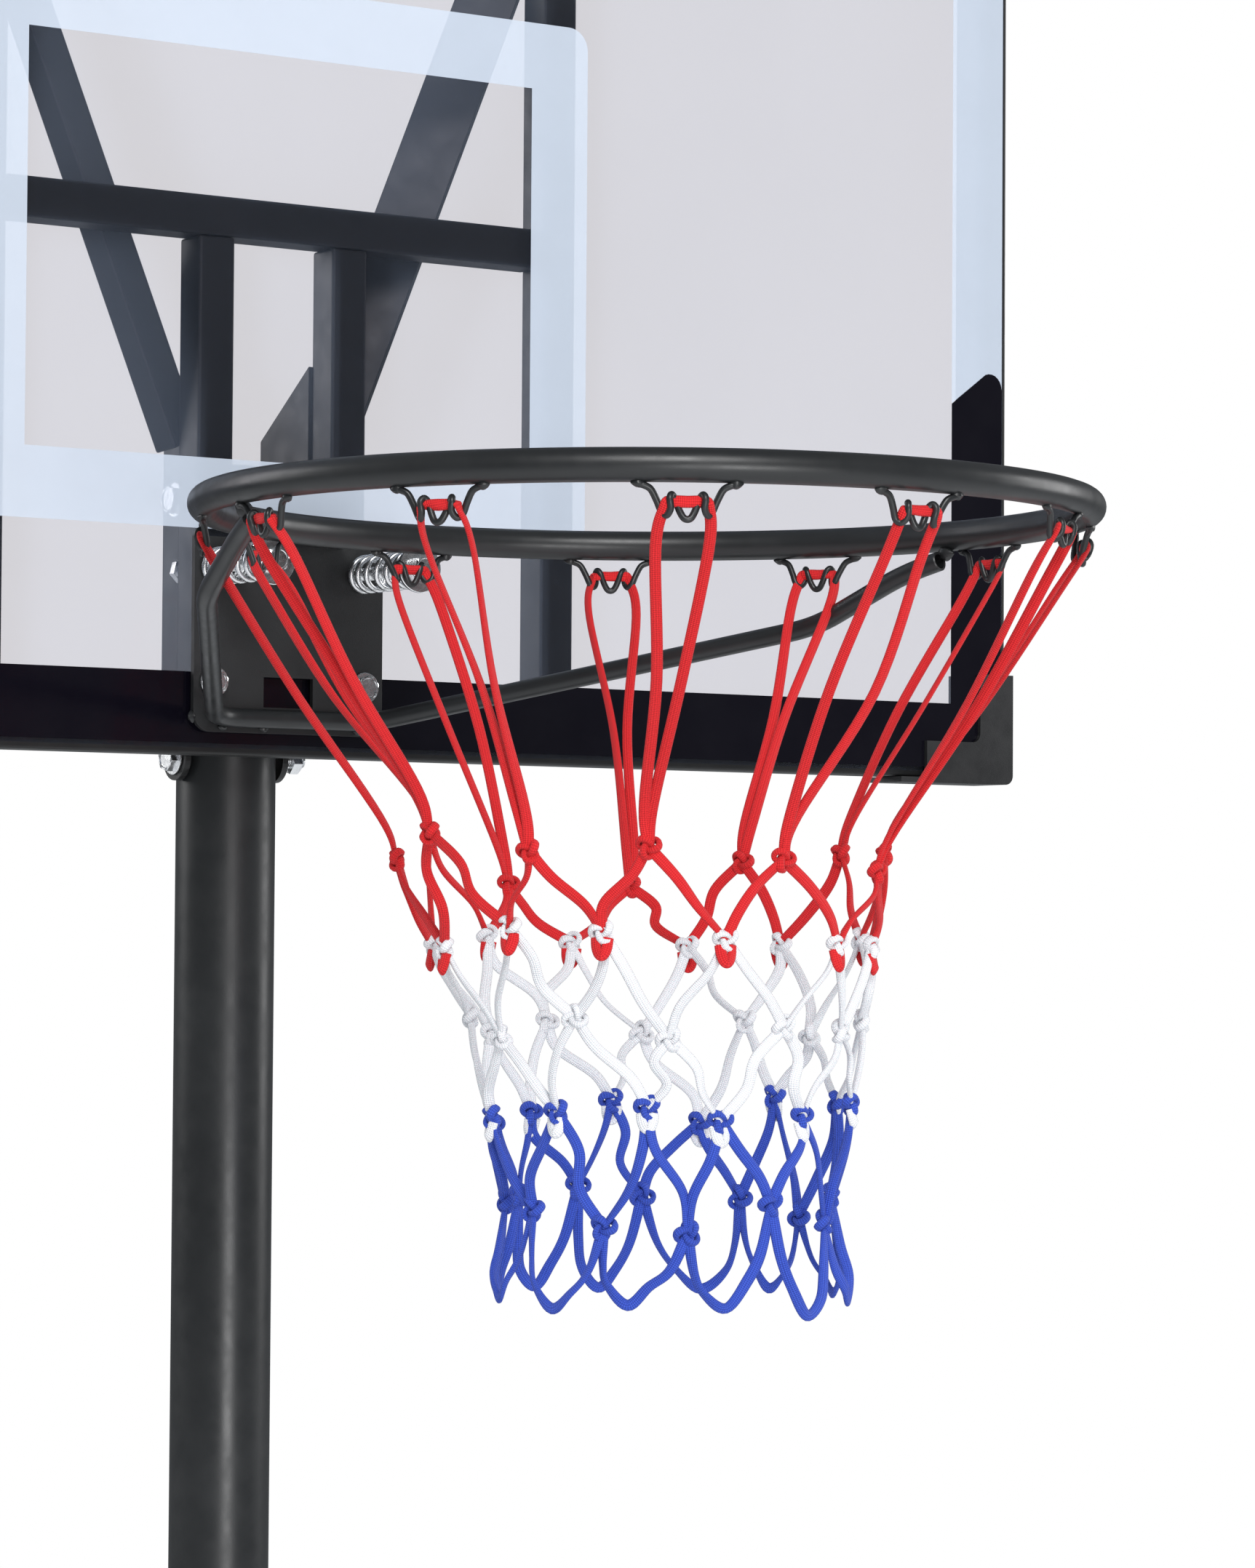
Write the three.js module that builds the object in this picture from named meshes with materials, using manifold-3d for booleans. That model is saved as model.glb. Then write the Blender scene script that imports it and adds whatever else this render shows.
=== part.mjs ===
// Portable basketball hoop: wheeled ballast base, telescoping pole, framed clear board and sprung rim.
// Millimetres, +Z up. The origin is where the pole axis meets the floor; the board faces -Y.
import * as THREE from 'three';
import Module from 'manifold-3d';
import { mergeVertices } from 'three/addons/utils/BufferGeometryUtils.js';

// Driving dimensions
const RIM_HEIGHT = 2300;        // ring centre above the floor at the lowest setting
const RING_Y = -444;            // ring centre, in front of the pole axis
const RING_RADIUS = 233.5;      // to the middle of the ring's wire
const RING_WIRE = 8.5;          // radius
const BOARD_FACE_Y = -68;
const BOARD_HALF = 550;
const BOARD_TOP = 626;          // heights on the board are measured from the ring's centre
const BOARD_BOTTOM = -116.5;
const PANEL = 3;
const TUBE = 24;                // square frame tube
const FRAME_HALF = 555.6;
const FRAME_TOP = 630;
const FRAME_BOTTOM = -120.5;
const GAP = 0.3;                // running and resting clearance
const POLE_R = 30.25;
const LOWER_POLE_R = 35;
const LOWER_POLE_TOP = 1250;
const BASE_HEIGHT = 150;
const HINGE_Z = -78;            // the rim plate rocks on its lower bolts
const SPRING_Z = -10;
const SPRING_X = 50;
const LOWER_BOLT_X = 52;
const POLE_BOLT_LOW = -120;
const POLE_BOLT_TOP = 36;
const WHEEL_R = 50;
const AXLE_Y = -150;
const AXLE_Z = 53;
const KNOB_Z = 1225;
const BRACE_TURN = Math.PI / 5.3;  // braces are turned this far about their own length

const wasm = await Module();
wasm.setup();

const finish = (color, roughness, metalness) =>
  new THREE.MeshStandardMaterial({ color, roughness, metalness });
const STEEL = finish(0x2c2e30, 0.45, 0.4);
const TEXTURED = finish(0x1d1e20, 0.6, 0.3);
const ZINC = finish(0xb9bcbf, 0.3, 0.9);
const PLASTIC = finish(0x17181a, 0.55, 0);
const CLEAR = finish(0xd7d5da, 0.1, 0);
const TANK = finish(0x1c1d1f, 0.6, 0);
const RUBBER = finish(0x202123, 0.8, 0);
const RED = finish(0xeb3237, 0.9, 0);
const WHITE = finish(0xf4f4f4, 0.9, 0);
const BLUE = finish(0x3c55c8, 0.9, 0);

const root = new THREE.Group();
// The board's heights and the rim are placed from the ring's centre.
const board = new THREE.Group();
board.position.z = RIM_HEIGHT;
root.add(board);

// ---------------------------------------------------------------- helpers

function place(group, name, geometry, material, position = [0, 0, 0]) {
  const mesh = new THREE.Mesh(geometry, material);
  mesh.name = name;
  mesh.position.set(...position);
  group.add(mesh);
  return mesh;
}

// A closed geometry as a manifold solid, and back.
function solid(geometry) {
  const bare = geometry.clone();
  bare.deleteAttribute('normal');
  bare.deleteAttribute('uv');
  const merged = mergeVertices(bare, 1e-4);
  const vertProperties = new Float32Array(merged.attributes.position.array);
  const triVerts = new Uint32Array(merged.index.array);
  return new wasm.Manifold(new wasm.Mesh({ numProp: 3, vertProperties, triVerts }));
}

function geometryOf(manifold) {
  const mesh = manifold.getMesh();
  const geometry = new THREE.BufferGeometry();
  geometry.setAttribute('position', new THREE.BufferAttribute(mesh.vertProperties, 3));
  geometry.setIndex(new THREE.BufferAttribute(mesh.triVerts, 1));
  geometry.computeVertexNormals();
  return geometry;
}

const cut = (geometry, ...tools) =>
  geometryOf(tools.reduce((left, tool) => left.subtract(solid(tool)), solid(geometry)));
const join = (...pieces) =>
  geometryOf(pieces.map(solid).reduce((whole, piece) => whole.add(piece)));

// A box from its lowest to its highest corner.
function block(low, high) {
  const size = high.map((value, i) => value - low[i]);
  const middle = high.map((value, i) => (value + low[i]) / 2);
  return new THREE.BoxGeometry(...size).translate(...middle);
}

// A cylinder along an axis, from one coordinate to another.
function rod(axis, radius, from, to, centre = [0, 0, 0], sides = 16) {
  const shape = new THREE.CylinderGeometry(radius, radius, to - from, sides);
  const middle = (from + to) / 2;
  if (axis === 'x') shape.rotateZ(Math.PI / 2).translate(middle, 0, 0);
  if (axis === 'y') shape.translate(0, middle, 0);
  if (axis === 'z') shape.rotateX(Math.PI / 2).translate(0, 0, middle);
  return shape.translate(...centre);
}

const points = (pairs) => pairs.map(([x, y]) => new THREE.Vector2(x, y));

// A turned piece about Z from [radius, height] pairs; the profile starts and ends on the axis or closes.
function turned(profile, sides = 32, closed = false) {
  const pairs = closed ? [...profile, profile[0]] : profile;
  return new THREE.LatheGeometry(points(pairs), sides).rotateX(Math.PI / 2);
}

// A hollow round tube about Z.
const hollow = (outer, inner, low, high, sides = 32) =>
  turned([[inner, low], [outer, low], [outer, high], [inner, high]], sides, true);

// An outline in XZ, extruded along +Y from `from` to `to`.
function plateXZ(outline, from, to, holes = []) {
  const shape = outline instanceof THREE.Shape ? outline : new THREE.Shape(points(outline));
  shape.holes.push(...holes);
  const depth = to - from;
  const body = new THREE.ExtrudeGeometry(shape, { depth, bevelEnabled: false, curveSegments: 6 });
  return body.rotateX(Math.PI / 2).translate(0, to, 0);
}

function circle(x, z, radius) {
  const path = new THREE.Path();
  path.absarc(x, z, radius, 0, 2 * Math.PI);
  return path;
}

// A round wire along a smooth or straight-sided curve.
function wire(curve, radius, steps, sides = 6) {
  const ringPoints = Array.from({ length: sides }, (_, i) => {
    const angle = (2 * Math.PI * i) / sides;
    return [radius * Math.cos(angle), radius * Math.sin(angle)];
  });
  const section = new THREE.Shape(points(ringPoints));
  return new THREE.ExtrudeGeometry(section, { steps, extrudePath: curve, bevelEnabled: false });
}

// A closed tube between two points.
function strutBetween(a, b, shape) {
  const from = new THREE.Vector3(...a);
  const to = new THREE.Vector3(...b);
  const length = from.distanceTo(to);
  const body = shape(length);
  const turn = new THREE.Quaternion().setFromUnitVectors(
    new THREE.Vector3(0, 0, 1),
    to.clone().sub(from).normalize(),
  );
  return body.applyQuaternion(turn).translate(...from.toArray());
}

// A hexagon-headed bolt pointing along +Y, with its nut at the far end, as one solid.
function bolt(head, shankRadius, length, headThickness, nutThickness) {
  const hexHead = rod('y', head, -headThickness, 0, [0, 0, 0], 6);
  const shank = rod('y', shankRadius, -1, length, [0, 0, 0], 12);
  const nut = rod('y', head, length - nutThickness - 2, length - 2, [0, 0, 0], 6);
  return join(hexHead, shank, nut);
}

// ---------------------------------------------------------------- base

function tankOutline() {
  const shape = new THREE.Shape();
  const corner = 60;
  const [side, nose, front, shoulder, back] = [360, 200, -215, -85, 900];
  shape.moveTo(-nose, front);
  shape.lineTo(nose, front);
  shape.lineTo(nose, shoulder);
  shape.lineTo(side - corner, shoulder);
  shape.absarc(side - corner, shoulder + corner, corner, -Math.PI / 2, 0);
  shape.lineTo(side, back - 2 * corner);
  shape.absarc(side - 2 * corner, back - 2 * corner, 2 * corner, 0, Math.PI / 2);
  shape.absarc(2 * corner - side, back - 2 * corner, 2 * corner, Math.PI / 2, Math.PI);
  shape.lineTo(-side, shoulder + corner);
  shape.absarc(corner - side, shoulder + corner, corner, Math.PI, 1.5 * Math.PI);
  shape.lineTo(-nose, shoulder);
  return shape;
}

function buildBase() {
  const edge = 18;
  const tank = new THREE.ExtrudeGeometry(tankOutline(), {
    depth: BASE_HEIGHT - 2 * edge,
    bevelThickness: edge,
    bevelSize: edge,
    bevelOffset: -edge,
    bevelSegments: 2,
    curveSegments: 4,
  }).translate(0, 0, edge);
  const socket = rod('z', LOWER_POLE_R + GAP, 40, 200, [0, 0, 0], 32);
  const capHole = rod('z', 25, BASE_HEIGHT - 25, 200, [220, 720, 0], 24);
  const axleBore = rod('x', 6.4, -260, 260, [0, AXLE_Y, AXLE_Z], 16);
  place(root, 'base_tank', cut(tank, socket, capHole, axleBore), TANK);

  const cap = turned([[0, -20], [24.4, -20], [24.4, GAP], [36, GAP], [36, 14], [31, 18], [0, 18]], 24);
  place(root, 'fill_cap', cap, PLASTIC, [220, 720, BASE_HEIGHT]);

  place(root, 'axle', rod('x', 6, -268, 268, [0, AXLE_Y, AXLE_Z]), ZINC);
  for (const [side, sign] of [['left', -1], ['right', 1]]) {
    const tyre = turned([[6.4, -18], [14, -20], [34, -17], [WHEEL_R - 4, -20], [WHEEL_R, -15],
      [WHEEL_R, 15], [WHEEL_R - 4, 20], [34, 17], [14, 20], [6.4, 18]], 24, true);
    const wheel = place(root, `wheel_${side}`, tyre, RUBBER, [sign * 240, AXLE_Y, AXLE_Z]);
    wheel.rotation.y = Math.PI / 2;
    const foot = [sign * 230, 620, BASE_HEIGHT + 12];
    const head = [sign * 54, 6, 820];
    const tube = (length) => rod('z', 12.5, 0, length);
    place(root, `strut_${side}`, strutBetween(foot, head, tube), STEEL);
  }
}

// ---------------------------------------------------------------- pole

function buildPole() {
  const shaftHole = (y) => rod('y', 5.4, 0, y, [0, 0, KNOB_Z], 12);
  const lower = hollow(LOWER_POLE_R, LOWER_POLE_R - 2, 40 + GAP, LOWER_POLE_TOP);
  place(root, 'lower_pole', cut(lower, shaftHole(60)), STEEL);

  const sleeve = turned([[LOWER_POLE_R + GAP, 1185], [41, 1185], [43, 1190], [43, 1254], [40, 1260],
    [POLE_R + 0.5, 1260], [POLE_R + 0.5, LOWER_POLE_TOP + GAP], [LOWER_POLE_R + GAP, LOWER_POLE_TOP + GAP]],
  32, true);
  place(root, 'pole_collar', cut(sleeve, shaftHole(60)), PLASTIC);

  const shaft = rod('y', 5, POLE_R + GAP, 60, [0, 0, 0], 12);
  const grip = rod('y', 24, 52, 78, [0, 0, 0], 10);
  place(root, 'clamp_knob', join(shaft, grip), PLASTIC, [0, 0, KNOB_Z]);

  const clampProfile = [[LOWER_POLE_R + GAP, 795], [39, 795], [39, 845], [LOWER_POLE_R + GAP, 845]];
  place(root, 'strut_clamp', turned(clampProfile, 32, true), STEEL);

  const top = RIM_HEIGHT + 55;
  const upper = hollow(POLE_R, POLE_R - 1.8, 330, top);
  const boltHole = rod('x', 5.4, -60, 60, [0, 0, RIM_HEIGHT + POLE_BOLT_LOW], 12);
  const upperHole = rod('x', 5.4, -60, 60, [0, 0, RIM_HEIGHT + POLE_BOLT_TOP], 12);
  place(root, 'upper_pole', cut(upper, boltHole, upperHole), STEEL);
}

// ---------------------------------------------------------------- board

const PANEL_BACK = BOARD_FACE_Y + PANEL;
const TUBE_FRONT = PANEL_BACK + GAP;
const TUBE_BACK = TUBE_FRONT + TUBE;
const BRACKET_BACK = TUBE_BACK + GAP + 4;

function rimHoles(radius) {
  const holes = [];
  for (const sign of [-1, 1]) {
    holes.push(circle(sign * SPRING_X, SPRING_Z, radius));
    holes.push(circle(sign * LOWER_BOLT_X, HINGE_Z, radius));
  }
  return holes;
}

const tubeBlock = (x0, z0, x1, z1) => block([x0, TUBE_FRONT, z0], [x1, TUBE_BACK, z1]);

function buildFrame() {
  const inner = FRAME_HALF - TUBE;
  const low = FRAME_BOTTOM + TUBE;
  const high = FRAME_TOP - TUBE;
  const crossLow = 188;
  const posts = [186, 210];
  const inners = [34, 58];
  place(board, 'frame_top', tubeBlock(-FRAME_HALF, high, FRAME_HALF, FRAME_TOP), STEEL);
  place(board, 'frame_bottom', tubeBlock(-FRAME_HALF, FRAME_BOTTOM, FRAME_HALF, low), STEEL);
  const cross = tubeBlock(-posts[0] + GAP, crossLow, posts[0] - GAP, crossLow + TUBE);
  place(board, 'frame_cross_bar', cross, STEEL);
  const spans = [['left', -1], ['right', 1]];
  for (const [side, sign] of spans) {
    const ends = (a, b) => (sign > 0 ? [a, b] : [-b, -a]);
    const [s0, s1] = ends(inner, FRAME_HALF);
    place(board, `frame_side_${side}`, tubeBlock(s0, low + GAP, s1, high - GAP), STEEL);
    const [p0, p1] = ends(...posts);
    place(board, `frame_post_${side}`, tubeBlock(p0, low + GAP, p1, high - GAP), STEEL);
    const [i0, i1] = ends(...inners);
    const post = tubeBlock(i0, low + GAP, i1, crossLow - GAP);
    const holes = [[SPRING_X, SPRING_Z], [LOWER_BOLT_X, HINGE_Z]].map(([x, z]) =>
      rod('y', 4.6, -90, 0, [sign * x, 0, z], 12));
    place(board, `rim_post_${side}`, cut(post, ...holes), STEEL);
  }
}

function cornerPad(sx, sz) {
  const [out, low] = [557.6, -124.4];
  const outline = new THREE.Shape();
  outline.moveTo(464.5, low);
  outline.lineTo(out - 6, low);
  outline.absarc(out - 6, low + 6, 6, -Math.PI / 2, 0);
  outline.lineTo(out, -52);
  outline.lineTo(530, -52);
  outline.lineTo(530, -91);
  outline.absarc(524, -91, 6, 0, -Math.PI / 2, true);
  outline.lineTo(485.5, -97);
  outline.lineTo(485.5, FRAME_BOTTOM - GAP);
  outline.lineTo(464.5, FRAME_BOTTOM - GAP);
  const [front, back] = [BOARD_FACE_Y - 3.2, TUBE_BACK + 3.2];
  const body = plateXZ(outline, front, back);
  const room = block(
    [400, BOARD_FACE_Y - GAP, FRAME_BOTTOM - GAP],
    [FRAME_HALF + GAP, TUBE_BACK + GAP, 0],
  );
  const middle = (FRAME_TOP + FRAME_BOTTOM) / 2;
  let pad = solid(body).subtract(solid(room));
  if (sx < 0) pad = pad.mirror([1, 0, 0]);
  if (sz > 0) pad = pad.translate([0, 0, -middle]).mirror([0, 0, 1]).translate([0, 0, middle]);
  return geometryOf(pad);
}

// Two side plates flank the pole and a web joins them behind the frame.
function buildBracket() {
  const ear = new THREE.Shape();
  const [front, back, earR, boltZ] = [TUBE_BACK + GAP, 17, 14, POLE_BOLT_LOW];
  ear.moveTo(front, 118);
  ear.lineTo(front, -92);
  ear.lineTo(-14, -108);
  ear.lineTo(-earR, boltZ);
  ear.absarc(0, boltZ, earR, Math.PI, 1.9 * Math.PI);
  ear.lineTo(back, boltZ + 8);
  ear.lineTo(back, 77);
  const makeSide = (x) => {
    const side = new THREE.ExtrudeGeometry(ear, { depth: 4, bevelEnabled: false, curveSegments: 8 });
    // the outline's own axes are Y and Z, so its extrusion is turned to run along X
    const turn = new THREE.Matrix4().makeBasis(
      new THREE.Vector3(0, 1, 0),
      new THREE.Vector3(0, 0, 1),
      new THREE.Vector3(1, 0, 0),
    );
    return side.applyMatrix4(turn).translate(x, 0, 0);
  };
  const web = block([-36, front, -92], [36, front + 4, 36]);
  const holes = [POLE_BOLT_LOW, POLE_BOLT_TOP].map((z) => rod('x', 5.4, -60, 60, [0, 0, z], 12));
  const tubeHoles = [-1, 1].map((sign) => rod('y', 7.5, -50, 0, [sign * SPRING_X, 0, SPRING_Z], 12));
  const whole = solid(join(makeSide(-36), makeSide(32), web));
  const drilled = [...holes, ...tubeHoles].reduce((left, tool) => left.subtract(solid(tool)), whole);
  place(board, 'pole_bracket', geometryOf(drilled), STEEL);

  const names = [['pole_bolt_lower', POLE_BOLT_LOW], ['pole_bolt_upper', POLE_BOLT_TOP]];
  for (const [name, z] of names) {
    const across = bolt(9, 4.9, 90, 6, 8).rotateZ(-Math.PI / 2).translate(-36 - GAP, 0, z);
    place(board, name, across, ZINC);
  }
}

function buildBraces() {
  for (const [side, sign] of [['left', -1], ['right', 1]]) {
    const section = (length) => new THREE.BoxGeometry(37, 14, length)
      .translate(0, 0, length / 2).rotateZ(sign * -BRACE_TURN);
    const y = TUBE_BACK + 16.8;
    const strip = strutBetween([sign * 48.5, y, 67], [sign * 270.5, y, FRAME_TOP - 24], section);
    // the inner corner at the foot is cut off flush with the bracket's side plate
    const bracketRoom = block([-36 - GAP, TUBE_BACK - 5, 0], [36 + GAP, 60, 140]);
    place(board, `brace_${side}`, cut(strip, bracketRoom), STEEL);
  }
}

function buildBoard() {
  const outline = [[-BOARD_HALF, BOARD_BOTTOM], [BOARD_HALF, BOARD_BOTTOM],
    [BOARD_HALF, BOARD_TOP], [-BOARD_HALF, BOARD_TOP]];
  const panel = plateXZ(outline, BOARD_FACE_Y, PANEL_BACK, rimHoles(4.6));
  place(board, 'panel', panel, CLEAR);
  buildFrame();
  buildBracket();
  buildBraces();
  place(board, 'corner_pad_low_left', cornerPad(-1, -1), PLASTIC);
  place(board, 'corner_pad_low_right', cornerPad(1, -1), PLASTIC);
  place(board, 'corner_pad_top_left', cornerPad(-1, 1), PLASTIC);
  place(board, 'corner_pad_top_right', cornerPad(1, 1), PLASTIC);
}

// ---------------------------------------------------------------- rim

const PLATE_BACK = BOARD_FACE_Y - 3.2;
const PLATE_FRONT = PLATE_BACK - 3.5;
const WASHER_Y = -141;

// The rim plate and, bent from its top edge, the shelf that the ring is welded to.
function buildPlate() {
  const [half, low, high, corner] = [65, -107.5, 8, 12];
  const outline = new THREE.Shape();
  outline.moveTo(corner - half, low);
  outline.lineTo(half - corner, low);
  outline.absarc(half - corner, low + corner, corner, -Math.PI / 2, 0);
  outline.lineTo(half, high);
  outline.lineTo(-half, high);
  outline.lineTo(-half, low + corner);
  outline.absarc(corner - half, low + corner, corner, Math.PI, 1.5 * Math.PI);
  const slot = new THREE.Path(points([[-17.5, -92], [16.5, -92], [16.5, -74], [-17.5, -74]]));
  const plate = plateXZ(outline, PLATE_FRONT, PLATE_BACK, [...rimHoles(5), slot]);
  const neck = 34;
  const shelf = block([-neck, RING_Y + 180, 4.5], [neck, PLATE_BACK, high]);
  const ringRoom = rod('z', RING_RADIUS + RING_WIRE + GAP, -20, 20, [0, RING_Y, 0], 96);
  const whole = solid(join(plate, shelf)).subtract(solid(ringRoom));
  place(board, 'rim_plate', geometryOf(whole), TEXTURED);
}

// One bent rod: under the ring at both sides, and across the bottom of the plate.
function buildSupportRod() {
  const half = [[222, 30, -14.6], [215, 54, -21], [200, 116, -48], [54, 360, -99]];
  const route = half.map(([x, y, z]) => [x, y + RING_Y, z]);
  route[3][1] = PLATE_FRONT - GAP - 5.5;
  const full = [...route, ...route.toReversed().map(([x, y, z]) => [-x, y, z])];
  const path = new THREE.CurvePath();
  const corners = full.map((p) => new THREE.Vector3(...p));
  path.curves = roundedCorners(corners, 12);
  place(board, 'support_rod', wire(path, 5.5, 40, 8), STEEL);
}

// Straight stretches with a short curve at every corner.
function roundedCorners(corners, radius) {
  const curves = [];
  let from = corners[0];
  for (let i = 1; i < corners.length - 1; i += 1) {
    const before = corners[i - 1].clone().sub(corners[i]).normalize();
    const after = corners[i + 1].clone().sub(corners[i]).normalize();
    const enter = corners[i].clone().addScaledVector(before, radius);
    const leave = corners[i].clone().addScaledVector(after, radius);
    curves.push(new THREE.LineCurve3(from, enter));
    curves.push(new THREE.QuadraticBezierCurve3(enter, corners[i], leave));
    from = leave;
  }
  curves.push(new THREE.LineCurve3(from, corners.at(-1)));
  return curves;
}

// A net hook is a W of wire: two feet on the ring, two eyes and a point between them.
function hookGeometry() {
  const half = [[-22, 0, -10.6], [-17.5, -0.6, -12.2], [-14.6, -1.6, -17], [-12.2, -2.4, -22.4],
    [-9.9, -0.6, -24.2], [-8.2, 2.2, -21], [-8.6, 3.2, -16.6], [-7.4, 1.2, -14.4], [-5.6, -0.8, -16.8],
    [-3.4, -0.6, -22.4]];
  const route = [...half, [0, 0, -26], ...half.toReversed().map(([t, r, z]) => [-t, r, z])];
  const curve = new THREE.CatmullRomCurve3(route.map((p) => new THREE.Vector3(...p)));
  return wire(curve, 1.7, 28, 5);
}

function buildHooks() {
  const count = 12;
  for (let i = 0; i < count; i += 1) {
    const angle = (2 * Math.PI * i) / count;
    const arm = new THREE.Group();
    arm.position.y = RING_Y;
    arm.rotation.z = angle;
    board.add(arm);
    const hook = hookGeometry().rotateZ(Math.PI / 2).translate(RING_RADIUS, 0, 0);
    place(arm, `net_hook_${String(i + 1).padStart(2, '0')}`, hook, STEEL);
  }
}

function springGeometry(length) {
  const [turns, coilR, wireR] = [5.5, 10.2, 1.7];
  const start = wireR + GAP;
  const rise = length - 2 * start;
  class Helix extends THREE.Curve {
    getPoint(t, target = new THREE.Vector3()) {
      const angle = 2 * Math.PI * turns * t;
      return target.set(coilR * Math.cos(angle), start + rise * t, coilR * Math.sin(angle));
    }
  }
  return wire(new Helix(), wireR, 55, 5);
}

function buildRimFasteners() {
  const seat = WASHER_Y + 2.5;
  for (const [side, sign] of [['left', -1], ['right', 1]]) {
    const x = sign * SPRING_X;
    const spring = springGeometry(PLATE_FRONT - seat);
    place(board, `rim_spring_${side}`, spring, ZINC, [x, seat, SPRING_Z]);
    const washer = turned([[4.4, 0], [14.5, 0], [14.5, 2.5], [4.4, 2.5]], 20, true);
    washer.rotateX(-Math.PI / 2);
    place(board, `spring_washer_${side}`, washer, ZINC, [x, WASHER_Y, SPRING_Z]);
    const reach = TUBE_BACK - WASHER_Y + 14;
    const shankGap = WASHER_Y - GAP;
    place(board, `spring_bolt_${side}`, bolt(7.5, 4, reach, 6, 6), ZINC, [x, shankGap, SPRING_Z]);
    const headFace = PLATE_FRONT - 0.9;
    const lower = bolt(9.4, 4, TUBE_BACK - headFace + 11, 5.5, 6);
    place(board, `plate_bolt_${side}`, lower, ZINC, [sign * LOWER_BOLT_X, headFace, HINGE_Z]);
  }
}

// The net as three plain bands of its outer shape, one for each colour.
function netBand(profile) {
  const thick = 5;
  const inner = profile.map(([r, z]) => [r - thick, z]);
  return turned([...inner, ...profile.toReversed()], 24, true);
}

function buildNet() {
  place(board, 'net_red', netBand([[217, -36], [172, -120], [134, -190], [120, -223]]), RED, [0, RING_Y, 0]);
  place(board, 'net_white', netBand([[119, -224], [100, -275], [94, -319]]), WHITE, [8, RING_Y - 5, 0]);
  place(board, 'net_blue', netBand([[94, -320], [88, -368], [96, -418]]), BLUE, [12, RING_Y - 8, 0]);
}

function buildRim() {
  const ring = new THREE.TorusGeometry(RING_RADIUS, RING_WIRE, 8, 48);
  place(board, 'ring', ring, STEEL, [0, RING_Y, 0]);
  buildPlate();
  buildSupportRod();
  buildHooks();
  buildRimFasteners();
  buildNet();
}

buildBase();
buildPole();
buildBoard();
buildRim();

export default root;
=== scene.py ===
"""Looks for the portable basketball hoop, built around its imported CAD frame. Metres, +Z up."""
import math
import random

import bpy
from mathutils import Matrix, Quaternion, Vector


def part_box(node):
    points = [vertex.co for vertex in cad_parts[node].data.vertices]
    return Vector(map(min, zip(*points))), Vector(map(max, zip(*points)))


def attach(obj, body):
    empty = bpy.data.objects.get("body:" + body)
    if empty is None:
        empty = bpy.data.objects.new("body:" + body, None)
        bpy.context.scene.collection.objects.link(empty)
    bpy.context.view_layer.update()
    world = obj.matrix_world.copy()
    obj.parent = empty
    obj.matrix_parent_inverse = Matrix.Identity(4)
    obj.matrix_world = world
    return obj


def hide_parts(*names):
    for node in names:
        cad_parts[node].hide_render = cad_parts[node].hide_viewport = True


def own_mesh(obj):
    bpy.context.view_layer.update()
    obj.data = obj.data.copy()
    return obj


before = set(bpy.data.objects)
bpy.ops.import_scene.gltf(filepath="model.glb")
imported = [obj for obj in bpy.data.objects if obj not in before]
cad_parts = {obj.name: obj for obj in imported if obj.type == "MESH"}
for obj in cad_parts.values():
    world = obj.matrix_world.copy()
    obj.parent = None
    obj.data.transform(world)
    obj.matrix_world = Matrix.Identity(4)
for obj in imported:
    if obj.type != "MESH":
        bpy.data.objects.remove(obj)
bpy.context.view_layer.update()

random.seed(7)

MM = 0.001
TURN = 2 * math.pi


def up(distance):
    """A vector straight up, from a distance in mm."""
    return Vector((0, 0, distance * MM))


def link_in(obj):
    bpy.context.scene.collection.objects.link(obj)


def middle(node):
    low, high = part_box(node)
    return (low + high) / 2


RING = middle("ring")
BOARD_LOW, BOARD_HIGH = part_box("panel")
BOARD_FACE = BOARD_LOW.y
HOOKS = 12
RING_RADIUS = 233.5 * MM
RING_WIRE = 8.5 * MM
POLE_BORE = 35.3 * MM   # of what sits round the lower pole


# ---------------- camera, light and stage

def make_camera():
    """Stands low on the left of the court and looks a little up, past the ring, at the board."""
    turn, pitch, roll = math.radians(33.05), math.radians(2.08), math.radians(0.43)
    level_ahead = Vector((math.sin(turn), math.cos(turn), 0))
    ahead = level_ahead * math.cos(pitch) + Vector((0, 0, math.sin(pitch)))
    level = Vector((math.cos(turn), -math.sin(turn), 0))
    above = level.cross(ahead)
    right = level * math.cos(roll) + above * math.sin(roll)
    head = above * math.cos(roll) - level * math.sin(roll)
    data = bpy.data.cameras.new("camera")
    data.lens = 106.13
    data.sensor_width = 36
    data.shift_x = 0.0842
    data.shift_y = -0.0123
    data.clip_end = 60
    camera = bpy.data.objects.new("camera", data)
    camera.matrix_world = Matrix((right, head, -ahead)).transposed().to_4x4()
    camera.location = Vector((-1.3961, RING.y - 2.0023, RING.z - 0.2245))
    link_in(camera)
    bpy.context.scene.camera = camera


def area_light(name, place, target, width, height, power):
    data = bpy.data.lights.new(name, "AREA")
    data.shape = "RECTANGLE"
    data.size = width
    data.size_y = height
    data.energy = power
    light = bpy.data.objects.new(name, data)
    light.location = place
    light.rotation_mode = "QUATERNION"
    light.rotation_quaternion = (Vector(target) - Vector(place)).to_track_quat("-Z", "Y")
    link_in(light)


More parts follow.
